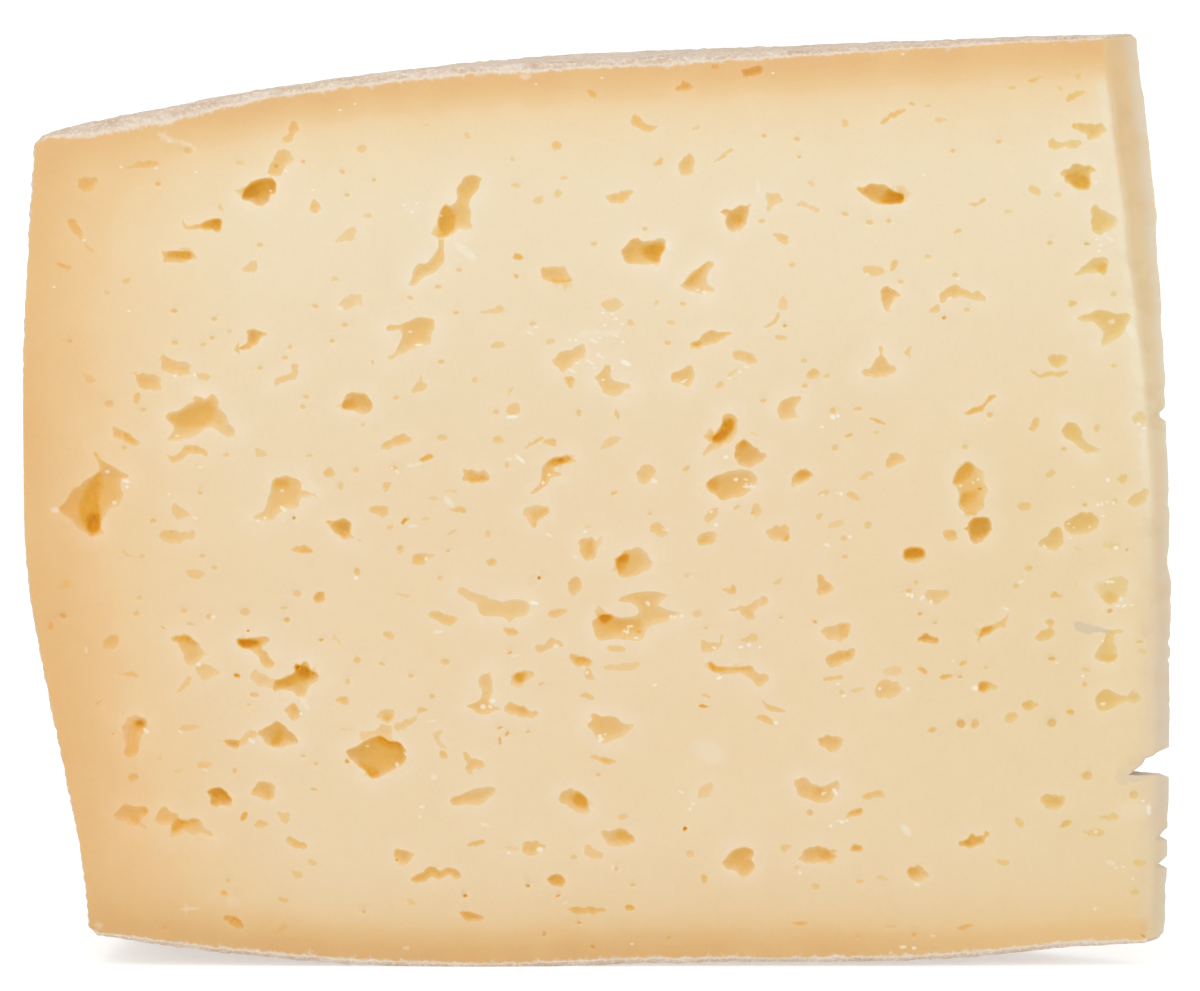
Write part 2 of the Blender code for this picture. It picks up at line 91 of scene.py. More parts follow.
# The eyes of the front cut, read off the face as places in the frame (across, down).
# Each is how deep it looks, from 0 to 1, and its outline; the same number sets its painted shade, darker and more
# golden deeper in.
EYES = [
    # the first band, under the top
    (0.42, [77, 179, 90, 177, 98, 178, 99, 184, 88, 192, 83, 191, 78, 186]),
    (0.42, [125, 168, 132, 165, 140, 162, 150, 161, 158, 162, 159, 165, 152, 167, 140, 167, 130, 168]),
    (0.22, [217, 207, 220, 203, 222, 208, 225, 210, 221, 211]),
    (0.4, [289, 127, 292, 121, 295, 121, 297, 125, 300, 129, 293, 134, 293, 138, 291, 142, 281, 142, 282, 139, 290, 133]),
    (0.4, [278, 151, 284, 149, 290, 151, 292, 156, 295, 160, 285, 166, 283, 171, 278, 176, 270, 176, 268, 173, 272, 162, 275, 156]),
    (0.7, [241, 199, 243, 191, 250, 183, 259, 179, 270, 177, 275, 183, 277, 190, 276, 193, 271, 194, 268, 201, 263, 206, 256, 206, 249, 201]),
    (0.25, [356, 147, 360, 145, 365, 145, 367, 149, 363, 153, 358, 151]),
    (0.45, [314, 198, 316, 202, 322, 206, 319, 210, 315, 214, 309, 210]),
    (0.2, [423, 126, 426, 123, 430, 126]),
    (0.22, [464, 133, 467, 131, 469, 136, 472, 138, 466, 138]),
    (0.5, [464, 177, 475, 176, 484, 178, 479, 183, 476, 190, 472, 196, 469, 201, 468, 206, 471, 212, 470, 222, 473, 227, 466, 230, 458, 229, 453, 234, 447, 238, 440, 241, 438, 239, 443, 233, 442, 229, 437, 224, 438, 218, 442, 208, 445, 203, 450, 206, 455, 204, 458, 199, 457, 188, 461, 183]),
    (0.45, [439, 240, 443, 240, 444, 249, 443, 263, 437, 270, 428, 275, 419, 280, 413, 286, 407, 288, 411, 282, 413, 272, 417, 265, 426, 263, 432, 259, 438, 251]),
    (0.4, [552, 144, 555, 141, 559, 142, 563, 147, 556, 151, 552, 149]),
    (0.2, [510, 157, 514, 157, 515, 161, 511, 161]),
    (0.42, [587, 91, 589, 89, 596, 93, 598, 97, 593, 98, 589, 95]),
    (0.25, [535, 80, 541, 82, 539, 84, 535, 83]),
    (0.62, [683, 79, 685, 82, 694, 86, 690, 90, 680, 91, 675, 90, 675, 87, 682, 85]),
    (0.42, [634, 114, 639, 117, 646, 125, 660, 127, 655, 128, 650, 133, 643, 130, 631, 124, 632, 118]),
    (0.25, [690, 129, 700, 125, 701, 128, 695, 130]),
    (0.42, [690, 153, 695, 161, 694, 168, 693, 174, 688, 176, 681, 175, 680, 170, 678, 166, 681, 162, 685, 157]),
    (0.4, [664, 156, 662, 163, 660, 166, 652, 165, 657, 161]),
    (0.45, [605, 196, 612, 195, 618, 193, 625, 191, 635, 190, 630, 195, 623, 204, 616, 202, 611, 203]),
    (0.25, [532, 201, 535, 198, 541, 196, 545, 198, 540, 204, 535, 203]),
    (0.25, [557, 189, 562, 191, 562, 195, 556, 198, 554, 194]),
    (0.6, [710, 65, 719, 66, 718, 69, 711, 68]),
    (0.68, [741, 69, 745, 70, 750, 68, 758, 65, 764, 67, 762, 74, 750, 77, 743, 76]),
    (0.3, [714, 162, 718, 158, 726, 152, 729, 149, 735, 149, 729, 152, 725, 157, 720, 160]),
    (0.3, [765, 193, 779, 194, 784, 202, 776, 203, 772, 206, 771, 211, 767, 211, 768, 203]),
    (0.6, [721, 213, 727, 210, 735, 208, 745, 206, 752, 204, 749, 208, 747, 221, 745, 226, 740, 231, 733, 232, 727, 228, 726, 220, 725, 214]),
    (0.15, [806, 182, 811, 179, 816, 186, 812, 187]),
    (0.18, [795, 205, 803, 200, 807, 204, 821, 209, 817, 213, 806, 207]),
    (0.28, [842, 120, 847, 119, 849, 123, 847, 127, 843, 127, 841, 123]),
    (0.42, [880, 122, 888, 116, 893, 112, 904, 109, 907, 111, 899, 114, 895, 117, 888, 119, 886, 123, 881, 124]),
    (0.62, [855, 187, 865, 188, 870, 184, 883, 184, 894, 192, 903, 193, 905, 197, 903, 203, 894, 204, 884, 206, 877, 203, 869, 199, 862, 194]),
    (0.22, [932, 120, 940, 117, 948, 120, 943, 121, 940, 123]),
    (0.4, [1027, 81, 1035, 78, 1042, 76, 1038, 79, 1034, 82, 1029, 82]),
    (0.25, [1075, 74, 1081, 74, 1079, 81, 1076, 77]),
    (0.22, [1057, 86, 1061, 87, 1063, 89, 1062, 91, 1058, 89]),
    (0.42, [1066, 103, 1068, 95, 1073, 93, 1084, 90, 1085, 93, 1075, 98]),
    (0.5, [1072, 127, 1074, 123, 1080, 123, 1090, 125, 1100, 123, 1104, 125, 1106, 130, 1103, 135, 1092, 140, 1086, 139, 1088, 134, 1078, 130]),
    (0.35, [1048, 141, 1053, 138, 1057, 143, 1062, 142, 1080, 140, 1083, 142, 1075, 149, 1064, 146, 1060, 148, 1049, 149]),
    (0.55, [1060, 174, 1066, 168, 1076, 165, 1088, 165, 1096, 170, 1091, 173, 1089, 176, 1091, 182, 1090, 190, 1085, 191, 1077, 189, 1070, 185, 1065, 184, 1065, 176]),
    (0.28, [1028, 188, 1032, 185, 1040, 189, 1041, 194, 1038, 196, 1030, 192]),
    (0.45, [968, 204, 979, 203, 982, 199, 987, 198, 984, 201, 976, 206]),
    (0.25, [1005, 210, 1010, 210, 1013, 212, 1005, 214]),
    (0.42, [1092, 208, 1096, 205, 1106, 212, 1120, 219, 1119, 227, 1109, 230, 1100, 236, 1093, 230, 1091, 220]),
    # the second band
    (0.42, [67, 220, 71, 218, 76, 221, 80, 228, 83, 235, 82, 240, 73, 232, 69, 226]),
    (0.25, [84, 242, 88, 246, 94, 250, 96, 252, 92, 253, 87, 249]),
    (0.45, [54, 262, 60, 263, 72, 267, 71, 270, 60, 267]),
    (0.3, [121, 281, 126, 279, 130, 277, 131, 282, 125, 284]),
    (0.25, [103, 290, 110, 292, 109, 295, 104, 293]),
    (0.62, [182, 222, 186, 226, 194, 226, 205, 222, 212, 219, 220, 218, 222, 222, 220, 232, 210, 230, 198, 228, 190, 230, 185, 229]),
    (0.55, [161, 251, 168, 251, 178, 252, 193, 251, 192, 254, 196, 258, 190, 261, 180, 262, 163, 262, 165, 256]),
    (0.25, [240, 270, 245, 267, 252, 260, 258, 262, 256, 272, 247, 272]),
    (0.15, [226, 333, 229, 328, 234, 331, 230, 334]),
    (0.66, [246, 330, 257, 330, 268, 334, 261, 337, 257, 343, 251, 348, 247, 349, 235, 349, 243, 347, 248, 342, 248, 334]),
    (0.36, [161, 355, 176, 361, 195, 365, 190, 370, 192, 375, 180, 377, 172, 373, 167, 370, 160, 369, 161, 363]),
    (0.22, [194, 373, 209, 374, 210, 378, 205, 381, 198, 378]),
    (0.42, [135, 372, 138, 375, 145, 373, 158, 375, 162, 378, 160, 384, 163, 389, 155, 390, 147, 389, 139, 387, 137, 380]),
    (0.42, [134, 395, 139, 392, 141, 396, 138, 402, 139, 405, 134, 403]),
    (0.25, [82, 372, 95, 378, 97, 380, 91, 384, 86, 381]),
    (0.42, [166, 419, 167, 414, 180, 411, 188, 403, 195, 402, 193, 397, 200, 397, 205, 400, 213, 393, 219, 403, 217, 407, 226, 415, 228, 423, 236, 430, 234, 438, 228, 438, 220, 434, 213, 426, 207, 426, 198, 435, 186, 440, 165, 441, 174, 432, 174, 426, 170, 423]),
    (0.18, [346, 231, 349, 227, 357, 226, 354, 240, 345, 241, 333, 242]),
    (0.22, [331, 276, 339, 278, 338, 281, 332, 281]),
    (0.2, [340, 302, 349, 295, 362, 294, 362, 303, 366, 308, 357, 304, 347, 311, 338, 306]),
    (0.3, [371, 360, 375, 362, 372, 365]),
    (0.45, [436, 319, 433, 324, 432, 337, 430, 343, 421, 346, 410, 350, 402, 354, 393, 358, 386, 358, 394, 353, 398, 348, 403, 337, 400, 329, 386, 330, 389, 325, 400, 325, 410, 321, 420, 318, 428, 318]),
    (0.28, [291, 363, 299, 365, 297, 372, 297, 379, 289, 380, 280, 383, 275, 386, 273, 384, 277, 378, 286, 375, 293, 373]),
    (0.55, [341, 407, 344, 400, 346, 394, 350, 393, 363, 393, 369, 398, 372, 402, 371, 411, 366, 414, 358, 413, 354, 410, 343, 410]),
    (0.28, [420, 375, 422, 377, 422, 382, 429, 386, 420, 392, 411, 392, 413, 387, 419, 382]),
    (0.22, [470, 382, 475, 376, 478, 379, 476, 383]),
    (0.65, [514, 253, 521, 255, 524, 257, 521, 260, 513, 259]),
    (0.65, [513, 273, 519, 276, 516, 279]),
    (0.45, [542, 268, 551, 267, 564, 267, 567, 270, 573, 280, 561, 283, 551, 282, 543, 279, 541, 273]),
    (0.55, [620, 251, 628, 244, 631, 240, 638, 238, 643, 242, 653, 240, 667, 239, 665, 251, 661, 255, 660, 264, 657, 268, 654, 264, 640, 264, 629, 264, 624, 260, 625, 257]),
    (0.42, [679, 286, 686, 281, 689, 275, 697, 270, 703, 264, 710, 261, 714, 264, 706, 276, 707, 283, 714, 288, 715, 294, 698, 294, 689, 290]),
    (0.3, [480, 311, 493, 310, 497, 306, 503, 306, 504, 311, 499, 313, 480, 313]),
    (0.25, [490, 348, 493, 343, 499, 341, 507, 344, 501, 348]),
    (0.25, [600, 303, 616, 297, 624, 304, 619, 309, 611, 312, 605, 309]),
    (0.25, [627, 321, 631, 319, 635, 325, 627, 325]),
    (0.22, [546, 340, 555, 339, 554, 343, 547, 345]),
    (0.38, [551, 361, 560, 353, 570, 350, 585, 343, 587, 356, 573, 365, 568, 368, 563, 372, 559, 371, 558, 365]),
    (0.5, [564, 378, 567, 377, 576, 377, 573, 384, 571, 389, 568, 385]),
    (0.36, [594, 378, 600, 374, 605, 365, 612, 368, 610, 375, 613, 380, 619, 383, 631, 383, 632, 389, 625, 392, 613, 397, 602, 392, 602, 387, 600, 382]),
    (0.15, [653, 306, 655, 300, 661, 300, 659, 304]),
    (0.25, [666, 322, 671, 320, 677, 323, 671, 325]),
    (0.45, [671, 378, 672, 373, 680, 371, 686, 367, 692, 365, 695, 377, 691, 386, 686, 388, 682, 383, 673, 382]),
    (0.5, [689, 350, 691, 343, 698, 341, 701, 338, 705, 331, 719, 332, 733, 333, 725, 337, 719, 340, 713, 344, 703, 346]),
    (0.16, [515, 386, 509, 389, 506, 397, 508, 398, 511, 393]),
    (0.36, [772, 234, 781, 233, 788, 236, 789, 240, 787, 245, 781, 243, 778, 239]),
    (0.25, [788, 265, 792, 262, 796, 262, 793, 269]),
    (0.28, [861, 269, 865, 266, 876, 266, 885, 269, 883, 274, 874, 276, 865, 273]),
    (0.4, [891, 270, 891, 264, 894, 259, 899, 262, 893, 271, 888, 271]),
    (0.55, [881, 291, 883, 287, 888, 287, 897, 292, 901, 295, 894, 298, 890, 306, 890, 312, 885, 311, 882, 301]),
    (0.42, [940, 304, 940, 294, 949, 288, 955, 284, 960, 286, 966, 292, 972, 293, 978, 291, 986, 296, 984, 301, 973, 299, 963, 297, 952, 296, 947, 299]),
    (0.35, [928, 312, 934, 307, 939, 304, 940, 312]),
    (0.18, [778, 310, 779, 301, 784, 294, 788, 304, 787, 310]),
    (0.36, [781, 313, 777, 313, 775, 320, 763, 328, 770, 326, 776, 323]),
    (0.3, [775, 336, 781, 335, 788, 338, 784, 340, 776, 339]),
    (0.36, [733, 359, 733, 352, 739, 350, 754, 355, 757, 361, 754, 364, 748, 363, 743, 360]),
    (0.2, [725, 380, 731, 371, 740, 368, 733, 374]),
    (0.28, [714, 387, 720, 381, 724, 383, 723, 387, 717, 388]),
    (0.42, [806, 377, 809, 371, 814, 368, 820, 372, 818, 377, 811, 379]),
    (0.45, [879, 346, 883, 347, 881, 354, 889, 364, 896, 367, 897, 371, 888, 376, 877, 378, 870, 376, 863, 375, 862, 371, 870, 368, 876, 361, 880, 355]),
    (0.25, [904, 353, 907, 348, 912, 345, 910, 352, 910, 358]),
    (0.42, [778, 414, 778, 408, 781, 402, 788, 398, 803, 396, 797, 404, 794, 410, 799, 417, 797, 420, 781, 420]),
    (0.36, [954, 233, 957, 229, 962, 229, 960, 233]),
    (0.42, [1073, 276, 1080, 270, 1091, 260, 1098, 257, 1107, 258, 1109, 264, 1105, 275, 1101, 275, 1098, 272, 1089, 273]),
    (0.25, [1110, 295, 1113, 291, 1117, 292, 1115, 297]),
    (0.4, [1069, 300, 1079, 303, 1069, 308]),
    (0.42, [1076, 319, 1083, 315, 1092, 312, 1103, 311, 1113, 313, 1132, 314, 1125, 327, 1122, 334, 1116, 340, 1100, 348, 1104, 334, 1100, 327, 1092, 321]),
    (0.42, [1048, 359, 1050, 355, 1058, 355, 1068, 356, 1066, 362, 1059, 368, 1051, 365]),
    (0.38, [1029, 369, 1034, 371, 1040, 376, 1048, 371, 1060, 373, 1067, 370, 1069, 373, 1058, 377, 1048, 375, 1040, 379]),
    (0.6, [963, 413, 971, 410, 976, 407, 982, 406, 987, 400, 990, 395, 997, 395, 991, 400, 985, 406, 981, 412, 970, 414]),
    (0.28, [508, 406, 514, 403, 519, 403, 520, 413, 512, 415, 505, 412]),
    # the third band
    (0.42, [112, 426, 125, 432, 131, 435, 135, 440, 140, 441, 140, 445, 132, 445, 121, 439, 114, 436]),
    (0.42, [166, 453, 171, 458, 180, 453, 184, 447, 190, 445, 201, 447, 206, 451, 207, 458, 198, 452, 190, 453, 184, 457, 173, 464]),
    (0.5, [93, 452, 97, 453, 100, 459, 106, 463, 114, 467, 121, 472, 131, 476, 120, 481, 121, 490, 124, 494, 122, 500, 118, 506, 109, 509, 106, 515, 102, 521, 101, 529, 105, 534, 98, 535, 91, 538, 86, 533, 77, 529, 70, 518, 59, 509, 65, 503, 69, 494, 73, 488, 80, 487, 86, 480, 95, 475, 100, 470, 99, 462]),
    (0.28, [174, 503, 183, 509, 191, 515, 183, 518, 176, 520, 171, 508]),
    (0.33, [157, 536, 163, 531, 171, 530, 184, 533, 195, 530, 196, 539, 187, 540, 180, 543, 172, 544, 165, 541]),
    (0.25, [120, 551, 124, 550, 131, 557, 139, 557, 141, 554, 147, 557, 143, 558, 128, 556]),
    (0.28, [186, 573, 188, 570, 198, 570, 205, 573, 203, 577, 198, 579, 189, 577]),
    (0.25, [54, 589, 62, 583, 65, 579, 69, 579, 73, 582, 70, 589]),
    (0.22, [254, 449, 258, 448, 268, 453, 267, 456, 257, 457]),
    (0.42, [273, 482, 275, 478, 280, 477, 285, 476, 297, 479, 302, 484, 301, 491, 310, 494, 315, 493, 309, 496, 302, 497, 299, 502, 298, 507, 294, 509, 288, 508, 282, 512, 277, 516, 272, 520, 262, 521, 252, 519, 256, 515, 264, 511, 268, 503, 270, 494, 270, 488]),
    (0.4, [324, 476, 324, 471, 328, 468, 332, 467, 335, 476, 329, 477]),
    (0.42, [380, 447, 383, 443, 387, 442, 393, 438, 398, 435, 404, 434, 411, 438, 413, 441, 404, 444, 392, 447, 386, 449, 382, 450]),
    (0.65, [418, 460, 423, 457, 429, 454, 433, 454, 434, 457, 428, 460, 422, 462]),
    (0.36, [383, 483, 392, 482, 388, 489, 384, 493]),
    (0.5, [462, 468, 470, 471, 487, 471, 489, 476, 490, 481, 478, 482, 471, 483, 462, 479, 465, 475]),
    (0.25, [428, 498, 434, 496, 440, 498, 434, 500]),
    (0.22, [443, 490, 458, 490, 456, 493]),
    (0.42, [449, 511, 452, 509, 457, 508, 461, 506, 465, 509, 467, 514, 460, 512, 453, 511]),
    (0.38, [369, 508, 375, 506, 388, 506, 388, 514, 383, 518, 379, 515, 375, 513, 369, 513]),
    (0.85, [401, 524, 403, 519, 407, 518, 411, 517, 405, 522, 403, 525]),
    (0.22, [420, 519, 425, 517, 431, 518, 425, 521]),
    (0.25, [386, 528, 390, 525, 395, 526, 390, 530]),
    (0.3, [447, 535, 452, 531, 458, 529, 452, 534]),
    (0.55, [325, 523, 331, 521, 337, 520, 345, 519, 352, 523, 350, 529, 351, 534, 355, 538, 364, 543, 357, 541, 351, 538, 346, 539, 340, 537, 336, 534, 332, 529, 330, 525]),
    (0.5, [290, 550, 297, 547, 305, 545, 309, 548, 314, 551, 310, 553, 302, 553]),
    (0.38, [397, 546, 402, 545, 404, 550, 402, 553, 397, 553]),
    (0.4, [414, 554, 428, 554, 436, 555, 428, 559, 426, 562, 420, 565, 412, 564, 412, 560]),
    (0.4, [355, 568, 359, 568, 360, 573, 357, 576, 354, 572]),
    (0.6, [312, 599, 315, 594, 320, 592, 325, 591, 324, 602, 317, 603]),
    (0.25, [396, 593, 404, 595, 412, 595, 406, 598]),
    (0.38, [492, 441, 494, 437, 499, 436, 502, 438, 504, 441, 501, 443, 494, 443]),
    (0.36, [523, 450, 530, 443, 536, 440, 542, 436, 544, 438, 540, 441, 533, 444]),
    (0.45, [541, 442, 546, 440, 552, 439, 555, 439, 557, 446, 551, 445, 545, 443]),
    (0.5, [543, 467, 546, 463, 550, 460, 555, 457, 562, 457, 566, 455, 568, 454, 571, 458, 573, 460, 578, 461, 569, 463, 557, 466, 553, 468, 554, 472, 563, 474, 552, 477, 548, 480, 546, 486, 542, 488, 536, 491, 532, 494, 533, 491, 540, 485, 542, 476]),
    (0.34, [637, 477, 637, 472, 640, 468, 645, 465, 652, 465, 655, 468, 655, 475, 653, 481, 647, 484, 641, 485]),
    (0.2, [600, 450, 604, 442, 608, 438, 615, 436, 623, 438, 619, 441, 614, 445, 607, 448]),
    (0.36, [682, 471, 684, 468, 689, 465, 691, 467, 686, 471]),
    (0.6, [611, 493, 617, 491, 617, 493, 612, 495]),
    (0.28, [522, 513, 527, 508, 535, 505, 549, 507, 549, 514, 545, 516, 539, 519, 537, 522, 536, 528, 531, 528, 531, 522, 526, 518]),
    (0.34, [649, 530, 652, 524, 657, 522, 661, 524, 665, 529, 669, 534, 661, 537, 656, 534]),
    (0.42, [580, 540, 585, 538, 592, 538, 597, 541, 603, 535, 604, 540, 597, 549, 595, 555, 593, 560, 587, 561, 584, 558, 580, 551, 579, 545]),
    (0.42, [568, 585, 570, 580, 574, 577, 579, 577, 582, 585, 580, 591, 576, 595, 572, 596, 569, 591]),
    (0.42, [486, 562, 489, 559, 495, 559, 497, 562, 494, 566, 489, 566]),
    (0.45, [615, 568, 616, 560, 621, 554, 628, 549, 640, 548, 646, 551, 649, 557, 656, 562, 650, 568, 643, 573, 632, 576, 621, 577]),
    (0.42, [697, 541, 698, 536, 704, 533, 710, 531, 716, 533, 716, 538, 714, 543, 707, 544, 701, 546]),
    (0.3, [703, 519, 707, 514, 712, 509, 719, 508, 718, 513, 714, 519, 708, 523]),
    (0.45, [723, 420, 724, 415, 730, 414, 735, 415, 738, 421, 737, 430, 734, 438, 728, 444, 718, 448, 710, 452, 704, 457, 702, 453, 707, 448, 712, 443, 716, 434]),
    (0.6, [739, 442, 743, 439, 748, 442, 754, 447, 760, 451, 768, 457, 764, 460, 757, 464, 752, 468, 748, 467, 741, 466, 736, 460, 734, 454, 736, 447]),
    (0.52, [706, 485, 708, 481, 715, 477, 719, 475, 727, 472, 736, 471, 742, 469, 749, 469, 754, 473, 758, 479, 758, 484, 754, 488, 745, 494, 738, 498, 731, 497, 726, 500, 721, 499, 714, 494, 707, 488]),
    (0.15, [750, 431, 755, 433, 759, 437, 752, 434]),
    (0.55, [869, 418, 873, 418, 879, 420, 888, 425, 878, 423]),
    (0.6, [843, 437, 847, 435, 853, 433, 852, 436, 848, 437]),
    (0.3, [873, 432, 877, 431, 880, 432, 876, 434]),
    (0.42, [886, 466, 888, 458, 891, 453, 897, 453, 904, 456, 906, 461, 900, 463, 888, 468]),
    (0.5, [791, 482, 793, 476, 797, 472, 802, 469, 810, 471, 813, 475, 809, 479, 802, 483, 792, 487]),
    (0.24, [858, 480, 864, 473, 870, 471, 876, 475, 868, 476, 865, 480]),
    (0.3, [815, 496, 821, 492, 827, 489, 830, 492, 826, 495]),
    (0.3, [846, 496, 850, 491, 855, 493, 862, 501, 855, 500]),
    (0.34, [733, 509, 736, 506, 742, 505, 735, 510]),
    (0.3, [751, 513, 753, 505, 758, 503, 762, 513, 757, 518]),
    (0.3, [815, 518, 818, 514, 823, 513, 821, 518, 819, 520]),
    (0.18, [826, 525, 831, 523, 838, 520, 845, 519, 844, 525, 831, 529]),
    (0.25, [840, 539, 843, 535, 848, 539, 843, 542]),
    (0.3, [864, 525, 867, 521, 873, 524, 867, 530]),
    (0.4, [765, 533, 770, 529, 778, 526, 785, 525, 789, 528, 790, 536, 787, 541, 781, 542, 775, 541, 769, 537]),
    (0.42, [903, 553, 904, 550, 910, 547, 918, 547, 925, 549, 927, 555, 924, 561, 916, 564, 909, 562, 904, 559]),
    (0.42, [942, 533, 946, 530, 954, 530, 958, 539, 952, 541, 946, 540]),
    (0.45, [721, 588, 726, 589, 730, 589, 733, 584, 736, 587, 736, 593, 731, 594, 724, 591]),
    (0.28, [773, 584, 777, 580, 784, 577, 781, 581, 777, 585]),
    (0.5, [816, 575, 821, 575, 824, 579, 830, 583, 831, 586, 835, 589, 830, 593, 821, 597, 815, 591, 819, 587, 818, 581]),
    (0.28, [913, 583, 916, 580, 919, 582, 916, 585]),
    (0.28, [925, 592, 930, 590, 945, 591, 950, 597, 938, 603, 932, 604, 927, 598]),
    (0.45, [1034, 418, 1039, 418, 1039, 424, 1036, 429, 1033, 431, 1028, 430, 1031, 426]),
    (0.42, [1062, 432, 1063, 428, 1067, 423, 1073, 423, 1078, 426, 1082, 430, 1082, 437, 1085, 443, 1098, 447, 1103, 449, 1100, 453, 1088, 454, 1077, 446, 1074, 440, 1066, 439]),
    (0.28, [1094, 429, 1095, 425, 1100, 425, 1099, 430, 1096, 433]),
    (0.42, [952, 484, 954, 478, 957, 470, 962, 465, 966, 461, 972, 463, 979, 467, 984, 472, 984, 480, 988, 490, 985, 497, 983, 506, 979, 510, 977, 514, 965, 514, 964, 511, 960, 506, 959, 500, 960, 494, 956, 486]),
    (0.62, [963, 529, 968, 526, 971, 520, 976, 517, 988, 517, 991, 522, 993, 530, 990, 535, 984, 539, 980, 543, 973, 544, 970, 538, 969, 531]),
    (0.3, [1017, 506, 1021, 503, 1031, 503, 1031, 508, 1026, 511, 1020, 510]),
    (0.3, [1045, 475, 1048, 472, 1053, 469, 1056, 472, 1053, 476, 1048, 478]),
    (0.34, [1117, 480, 1120, 476, 1126, 474, 1128, 476, 1126, 481, 1122, 484]),
    (0.22, [1112, 500, 1115, 497, 1118, 501, 1115, 505]),
    (0.34, [1128, 502, 1130, 497, 1136, 494, 1146, 488, 1149, 490, 1148, 496, 1146, 502, 1139, 506, 1132, 507]),
    (0.46, [1063, 528, 1065, 523, 1071, 518, 1083, 512, 1091, 513, 1096, 516, 1100, 522, 1097, 528, 1092, 532, 1085, 535, 1074, 535]),
    (0.42, [1051, 530, 1056, 528, 1061, 528, 1063, 534, 1063, 540, 1061, 548, 1057, 552, 1052, 550, 1044, 549, 1038, 546, 1040, 541, 1048, 536]),
    (0.18, [1073, 547, 1080, 548, 1083, 550, 1078, 551]),
    (0.34, [1024, 568, 1029, 565, 1033, 567, 1031, 571, 1027, 571]),
    (0.28, [1013, 584, 1018, 583, 1020, 587, 1014, 589]),
    (0.45, [1050, 598, 1054, 591, 1058, 594, 1064, 597, 1057, 597]),
    (0.16, [1091, 589, 1098, 582, 1110, 578, 1121, 576, 1130, 582, 1126, 592, 1120, 602, 1110, 606, 1098, 600]),
    (0.22, [1131, 420, 1133, 416, 1139, 411, 1152, 411, 1160, 421, 1161, 434, 1155, 436, 1150, 432, 1143, 427]),
    # the fourth band
    (0.36, [102, 647, 104, 640, 113, 634, 118, 636, 119, 643, 114, 648, 108, 650]),
    (0.42, [171, 639, 176, 635, 181, 637, 186, 635, 192, 639, 198, 643, 201, 648, 208, 654, 201, 658, 198, 665, 187, 665, 184, 657, 181, 648, 177, 643]),
    (0.28, [196, 672, 196, 667, 203, 663, 211, 667, 222, 673, 212, 677, 205, 682]),
    (0.24, [175, 694, 181, 686, 188, 676, 192, 677, 190, 684, 183, 690]),
    (0.85, [233, 677, 234, 673, 241, 675, 240, 678]),
    (0.5, [236, 638, 250, 639, 262, 637, 268, 637, 270, 641, 264, 644, 261, 647, 262, 650, 267, 653, 270, 659, 277, 664, 266, 668, 260, 661, 259, 656, 252, 651, 249, 648, 245, 649, 238, 645]),
    (0.34, [115, 672, 122, 674, 131, 671, 141, 677, 134, 677, 124, 675]),
    (0.45, [121, 730, 124, 723, 128, 717, 135, 714, 143, 717, 148, 723, 147, 731, 141, 736, 139, 743, 137, 755, 130, 758, 124, 755, 126, 747, 125, 738]),
    (0.25, [178, 730, 182, 726, 187, 725, 199, 725, 201, 727, 193, 730, 184, 731]),
    (0.68, [223, 740, 240, 740, 241, 742, 238, 749, 231, 747, 226, 744]),
    (0.26, [240, 740, 246, 733, 250, 730, 256, 732, 257, 736, 247, 742, 240, 748]),
    (0.32, [195, 765, 202, 762, 213, 763, 210, 767, 201, 769]),
    (0.2, [171, 771, 178, 769, 184, 770, 176, 774]),
    (0.4, [232, 769, 237, 768, 235, 775]),
    (0.42, [128, 775, 137, 773, 139, 778, 134, 782, 128, 781]),
    (0.66, [207, 792, 211, 788, 221, 787, 228, 794, 232, 799, 232, 806, 220, 805, 211, 806, 211, 799]),
    (0.3, [185, 624, 190, 622, 196, 625, 190, 625]),
    (0.5, [159, 626, 163, 627, 167, 629, 162, 628]),
    (0.55, [274, 680, 283, 678, 291, 675, 296, 671, 294, 668, 295, 663, 299, 665, 302, 665, 302, 662, 306, 662, 309, 668, 312, 671, 317, 672, 320, 675, 318, 680, 310, 685, 307, 693, 303, 698, 298, 697, 294, 691, 286, 690, 273, 691]),
    (0.3, [250, 678, 253, 672, 256, 668, 259, 674, 268, 677, 274, 680, 273, 688, 262, 687, 252, 682]),
    (0.42, [284, 710, 287, 708, 293, 702, 300, 711, 304, 714, 297, 719, 292, 721, 289, 715]),
    (0.58, [257, 732, 268, 726, 280, 722, 286, 726, 290, 733, 297, 738, 299, 745, 291, 744, 282, 747, 275, 749, 267, 745, 264, 739]),
    (0.45, [335, 700, 340, 697, 348, 697, 349, 705, 342, 704]),
    (0.36, [376, 716, 381, 711, 388, 709, 396, 711, 394, 717, 388, 724, 383, 720]),
    (0.26, [392, 726, 401, 722, 410, 719, 416, 716, 417, 720, 410, 725, 404, 729, 397, 731]),
    (0.38, [416, 711, 420, 707, 429, 710, 421, 712, 417, 714]),
    (0.28, [361, 731, 375, 732, 382, 724, 392, 726, 391, 736, 394, 741, 386, 741, 378, 735, 369, 740, 361, 742]),
    (0.66, [345, 751, 348, 748, 355, 747, 369, 740, 378, 735, 383, 736, 388, 741, 400, 742, 403, 748, 405, 754, 407, 760, 401, 767, 390, 770, 383, 776, 373, 779, 369, 778, 364, 770, 355, 763, 348, 755]),
    (0.8, [344, 763, 347, 757, 350, 764, 347, 763]),
    (0.14, [337, 729, 348, 728, 358, 730, 348, 731]),
    (0.38, [428, 696, 432, 694, 436, 696, 432, 699]),
    (0.38, [428, 616, 431, 612, 438, 611, 444, 615, 457, 617, 455, 622, 450, 626, 444, 624, 437, 620]),
